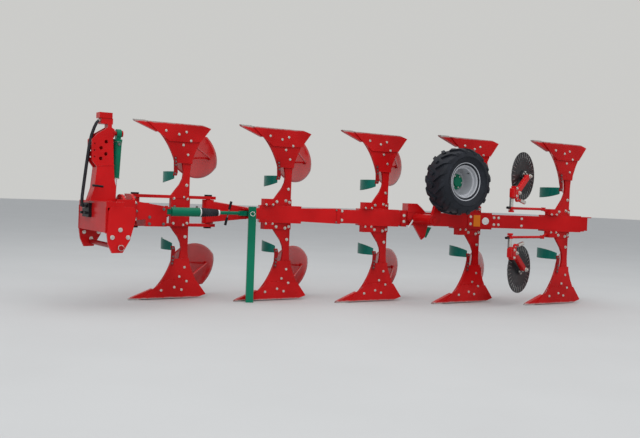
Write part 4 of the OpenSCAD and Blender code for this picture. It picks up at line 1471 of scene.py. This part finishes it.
@dataclass(frozen=True)
class Coulters:
    """The two disc coulters: stems, arm cases, clamps, springs, flutes and bolts.

    Places are millimetres behind the stem, beside it and away from the beam's centre, in the
    disc's own turned frame. Circles, half-sides and lifts are metres, but the arm case's first
    half-side is a share of the way between its ends. Each bar has its name, radius in metres,
    finish and points.
    """

    stem: Pair = (3400.0, -1470.0)
    swivel: float = math.radians(18.0)
    bars: tuple[tuple[str, float, str, tuple[Point, ...]], ...] = (
        ("stem", 0.0176, "zinc", ((0, 0, 138), (0, 0, 241))),
        ("guide", 0.007, "dark_zinc", ((-52, -12, 158), (-52, -12, 252))),
        ("spring", 0.019, "zinc", ((100, -34, 228), (208, -34, 206))),
        ("spring_lever", 0.0125, "red_bright", ((16, -34, 268), (30, -34, 220), (112, -34, 226))),
        ("knob", 0.013, "black_paint", ((-86, 0, 150), (-24, 0, 150))),
    )
    clamp: Point = (-56, -33, 297)
    clamp_half: Point = (0.021, 0.024, 0.048)
    hub: Point = (255, 18, 475)
    flute_circle: float = 0.186
    flute_count: int = 32
    flute_reach: float = 1.28
    flute_lift: Pair = (0.0055, 0.0045)
    case_middle: Point = (139, -37, 387.5)
    case_ends: tuple[Point, Point] = ((24, -37, 300), (255, -37, 475))
    case_half: Point = (0.46, 0.0225, 0.029)
    arm_bolts: tuple[tuple[Point, float], ...] = (
        ((255, -59, 475), 1.5), ((40, -59, 300), 1.3), ((-14, -59, 268), 0.9), ((-14, -59, 344), 0.9))
    disc_bolts: Point = (255, -4, 475)
    disc_bolt_circle: float = 0.042

    @property
    def _axle(self) -> Vector:
        """The direction of the discs' axles, towards the viewer."""
        return Vector((math.sin(self.swivel), -math.cos(self.swivel), 0.0))

    def _at(self, row: Row, back: float, side: float, up: float) -> Vector:
        """A point given from the stem in the disc's own frame.

        Args:
            row: The row that the coulter belongs to.
            back: Distance behind the stem.
            side: Distance away from the viewer.
            up: Distance from the beam's centre, towards the row's ground.

        Returns:
            The point in metres.
        """
        cos, sin = math.cos(self.swivel), math.sin(self.swivel)
        x, y = self.stem
        return LAYOUT.at(x + back * cos - side * sin, y + back * sin + side * cos,
                         LAYOUT.beam_z - row.value * up)

    def _coulter(self, shop: Shop, row: Row, name: str) -> None:
        """Adds one coulter's small parts.

        Args:
            shop: The shared trees and finishes.
            row: The row that the coulter belongs to.
            name: The name of its body.
        """
        at, axle = partial(self._at, row), self._axle
        for part, radius, finish, spots in self.bars:
            Tubes(f"{name}_{part}", name, ([at(*spot) for spot in spots],), radius, finish).build(shop)
        back, half = UP.cross(axle), self.clamp_half
        Plate(f"{name}_clamp", name, at(*self.clamp),
              (back * half[0], axle * half[1], UP * half[2])).build(shop)
        hub, (inner, outer) = at(*self.hub), self.flute_lift
        flutes = tuple([spot + axle * side * inner,
                        hub + (spot - hub) * self.flute_reach + axle * side * outer]
                       for side in (-1, 1) for spot in ring(hub, axle, self.flute_circle, self.flute_count))
        Tubes(f"{name}_flutes", f"{name}_disc", flutes, radius=0.0022, finish="worn_steel").build(shop)
        start, end = (at(*spot) for spot in self.case_ends)
        run, half = end - start, self.case_half
        Plate(f"{name}_arm_case", name, at(*self.case_middle),
              (run * half[0], axle * half[1], run.cross(axle).normalized() * half[2])).build(shop)
        rows = tuple((at(*spot), axle, size) for spot, size in self.arm_bolts)
        Bolts(f"{name}_bolts", name, rows).build(shop)
        rows = tuple((spot, axle, 0.7) for spot in ring(at(*self.disc_bolts), axle, self.disc_bolt_circle, 6))
        Bolts(f"{name}_disc_bolts", f"{name}_disc", rows).build(shop)

    def build(self, shop: Shop) -> None:
        """Dresses both coulters and adds their small parts.

        Args:
            shop: The shared trees and finishes.
        """
        for row, name in ((Row.LOWER, "lower_coulter"), (Row.UPPER, "upper_coulter")):
            self._coulter(shop, row, name)
        shop.finishes.dress("red_bright", "coulter_arms", "lower_coulter_fork", "upper_coulter_fork")
        shop.finishes.dress("fluted_steel", "lower_disc", "upper_disc")


@dataclass(frozen=True)
class Studio:
    """Floor, soft light and the camera at the photograph's angle, in metres.

    Each lamp has its name, place, aim, size and power.
    """

    spot: Point = (-4.698, -7.001, 1.040)
    yaw: float = math.radians(31.57)
    pitch: float = math.radians(1.54)
    roll: float = math.radians(2.15)
    lens: float = 46.8
    film: float = 36.0
    floor_half: float = 60.0
    floor_tones: tuple[Colour, Colour] = ((0.515, 0.515, 0.505), (0.530, 0.530, 0.520))
    sky: Colour = (0.90, 0.94, 1.0)
    sky_strength: float = 0.72
    backdrop: Colour = (0.60, 0.60, 0.585)
    lamps: tuple[tuple[str, Point, Point, float, float], ...] = (
        ("sky_panel", (-1.0, -2.0, 9.0), (0.0, 0.0, 0.6), 13.0, 620.0),
        ("side_panel", (-9.0, -11.0, 6.0), (0.0, 0.0, 0.8), 6.0, 300.0),
    )

    def _camera(self) -> None:
        """Sets the camera up."""
        level = math.cos(self.pitch)
        ahead = Vector((math.sin(self.yaw) * level, math.cos(self.yaw) * level, -math.sin(self.pitch)))
        right = ahead.cross(UP).normalized()
        up = right.cross(ahead)
        cos, sin = math.cos(self.roll), math.sin(self.roll)
        across, over = right * cos + up * sin, up * cos - right * sin
        data = bpy.data.cameras.new("camera")
        data.lens, data.sensor_width = self.lens, self.film
        camera = bpy.data.objects.new("camera", data)
        turn = Matrix((across, over, -ahead)).transposed()
        camera.matrix_world = Matrix.Translation(self.spot) @ turn.to_4x4()
        bpy.context.scene.collection.objects.link(camera)
        bpy.context.scene.camera = camera

    def _lamp(self, name: str, spot: Point, aim: Point, size: float, power: float) -> None:
        """Adds a soft square lamp that looks at a point.

        Args:
            name: The lamp's name.
            spot: Where it stands.
            aim: The point that it looks at.
            size: The length of its side.
            power: Its power in watts.
        """
        data = bpy.data.lights.new(name, "AREA")
        data.size, data.energy = size, power
        lamp = bpy.data.objects.new(name, data)
        turn = (Vector(aim) - Vector(spot)).to_track_quat("-Z", "Y")
        lamp.matrix_world = Matrix.Translation(spot) @ turn.to_matrix().to_4x4()
        bpy.context.scene.collection.objects.link(lamp)

    def _floor(self) -> None:
        """Adds the pale floor."""
        half = self.floor_half
        mesh = bpy.data.meshes.new("floor")
        corners = [(-half, -half, 0), (half, -half, 0), (half, half, 0), (-half, half, 0)]
        mesh.from_pydata(corners, [], [(0, 1, 2, 3)])
        tree = ShaderTree("floor_paint")
        shade = tree.mix(tree.noise(0.8).step(0.3, 0.7), *self.floor_tones)
        mesh.materials.append(tree.finish(Base_Color=shade, Roughness=0.85))
        floor = bpy.data.objects.new("floor", mesh)
        bpy.context.scene.collection.objects.link(floor)
        floor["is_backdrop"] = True

    def _world(self) -> None:
        """Sets the sky: a soft light, and a pale tone where the camera, metal or glass sees it."""
        world = bpy.data.worlds.new("sky")
        world.use_nodes = True
        bpy.context.scene.world = world
        tree = NodeTree(world.node_tree)
        seen = tree.add("ShaderNodeLightPath", output="Is Camera Ray")
        for kind in ("Is Glossy Ray", "Is Transmission Ray"):
            seen = seen + tree.add("ShaderNodeLightPath", output=kind)
        soft = tree.add("ShaderNodeBackground", inputs={
            "Color": (*self.sky, 1.0), "Strength": self.sky_strength})
        pale = tree.add("ShaderNodeBackground", inputs={"Color": (*self.backdrop, 1.0), "Strength": 1.0})
        shown = tree.add("ShaderNodeMixShader", inputs={0: seen, 1: soft, 2: pale})
        tree.add("ShaderNodeOutputWorld", inputs={"Surface": shown})

    def build(self) -> None:
        """Builds the whole stage."""
        self._camera()
        self._floor()
        self._world()
        for lamp in self.lamps:
            self._lamp(*lamp)


def main() -> None:
    """Builds everything in order and reports the pieces."""
    logging.basicConfig(level=logging.INFO, format="%(message)s")
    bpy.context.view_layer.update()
    bpy.context.scene.view_settings.view_transform = "Standard"
    Studio().build()
    shop = Shop(FastenerTree(), TubeTree(), WeldTree(), BladeTree(), BellowsTree(), Finishes())
    for assembly in (PloughBodies(), Headstock(), SwingDrive(), Beam(), Wheel(), Coulters()):
        assembly.build(shop)
    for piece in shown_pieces():
        LOG.info("piece %s", piece.name)
    bpy.context.view_layer.update()


if __name__ == "__main__":
    main()
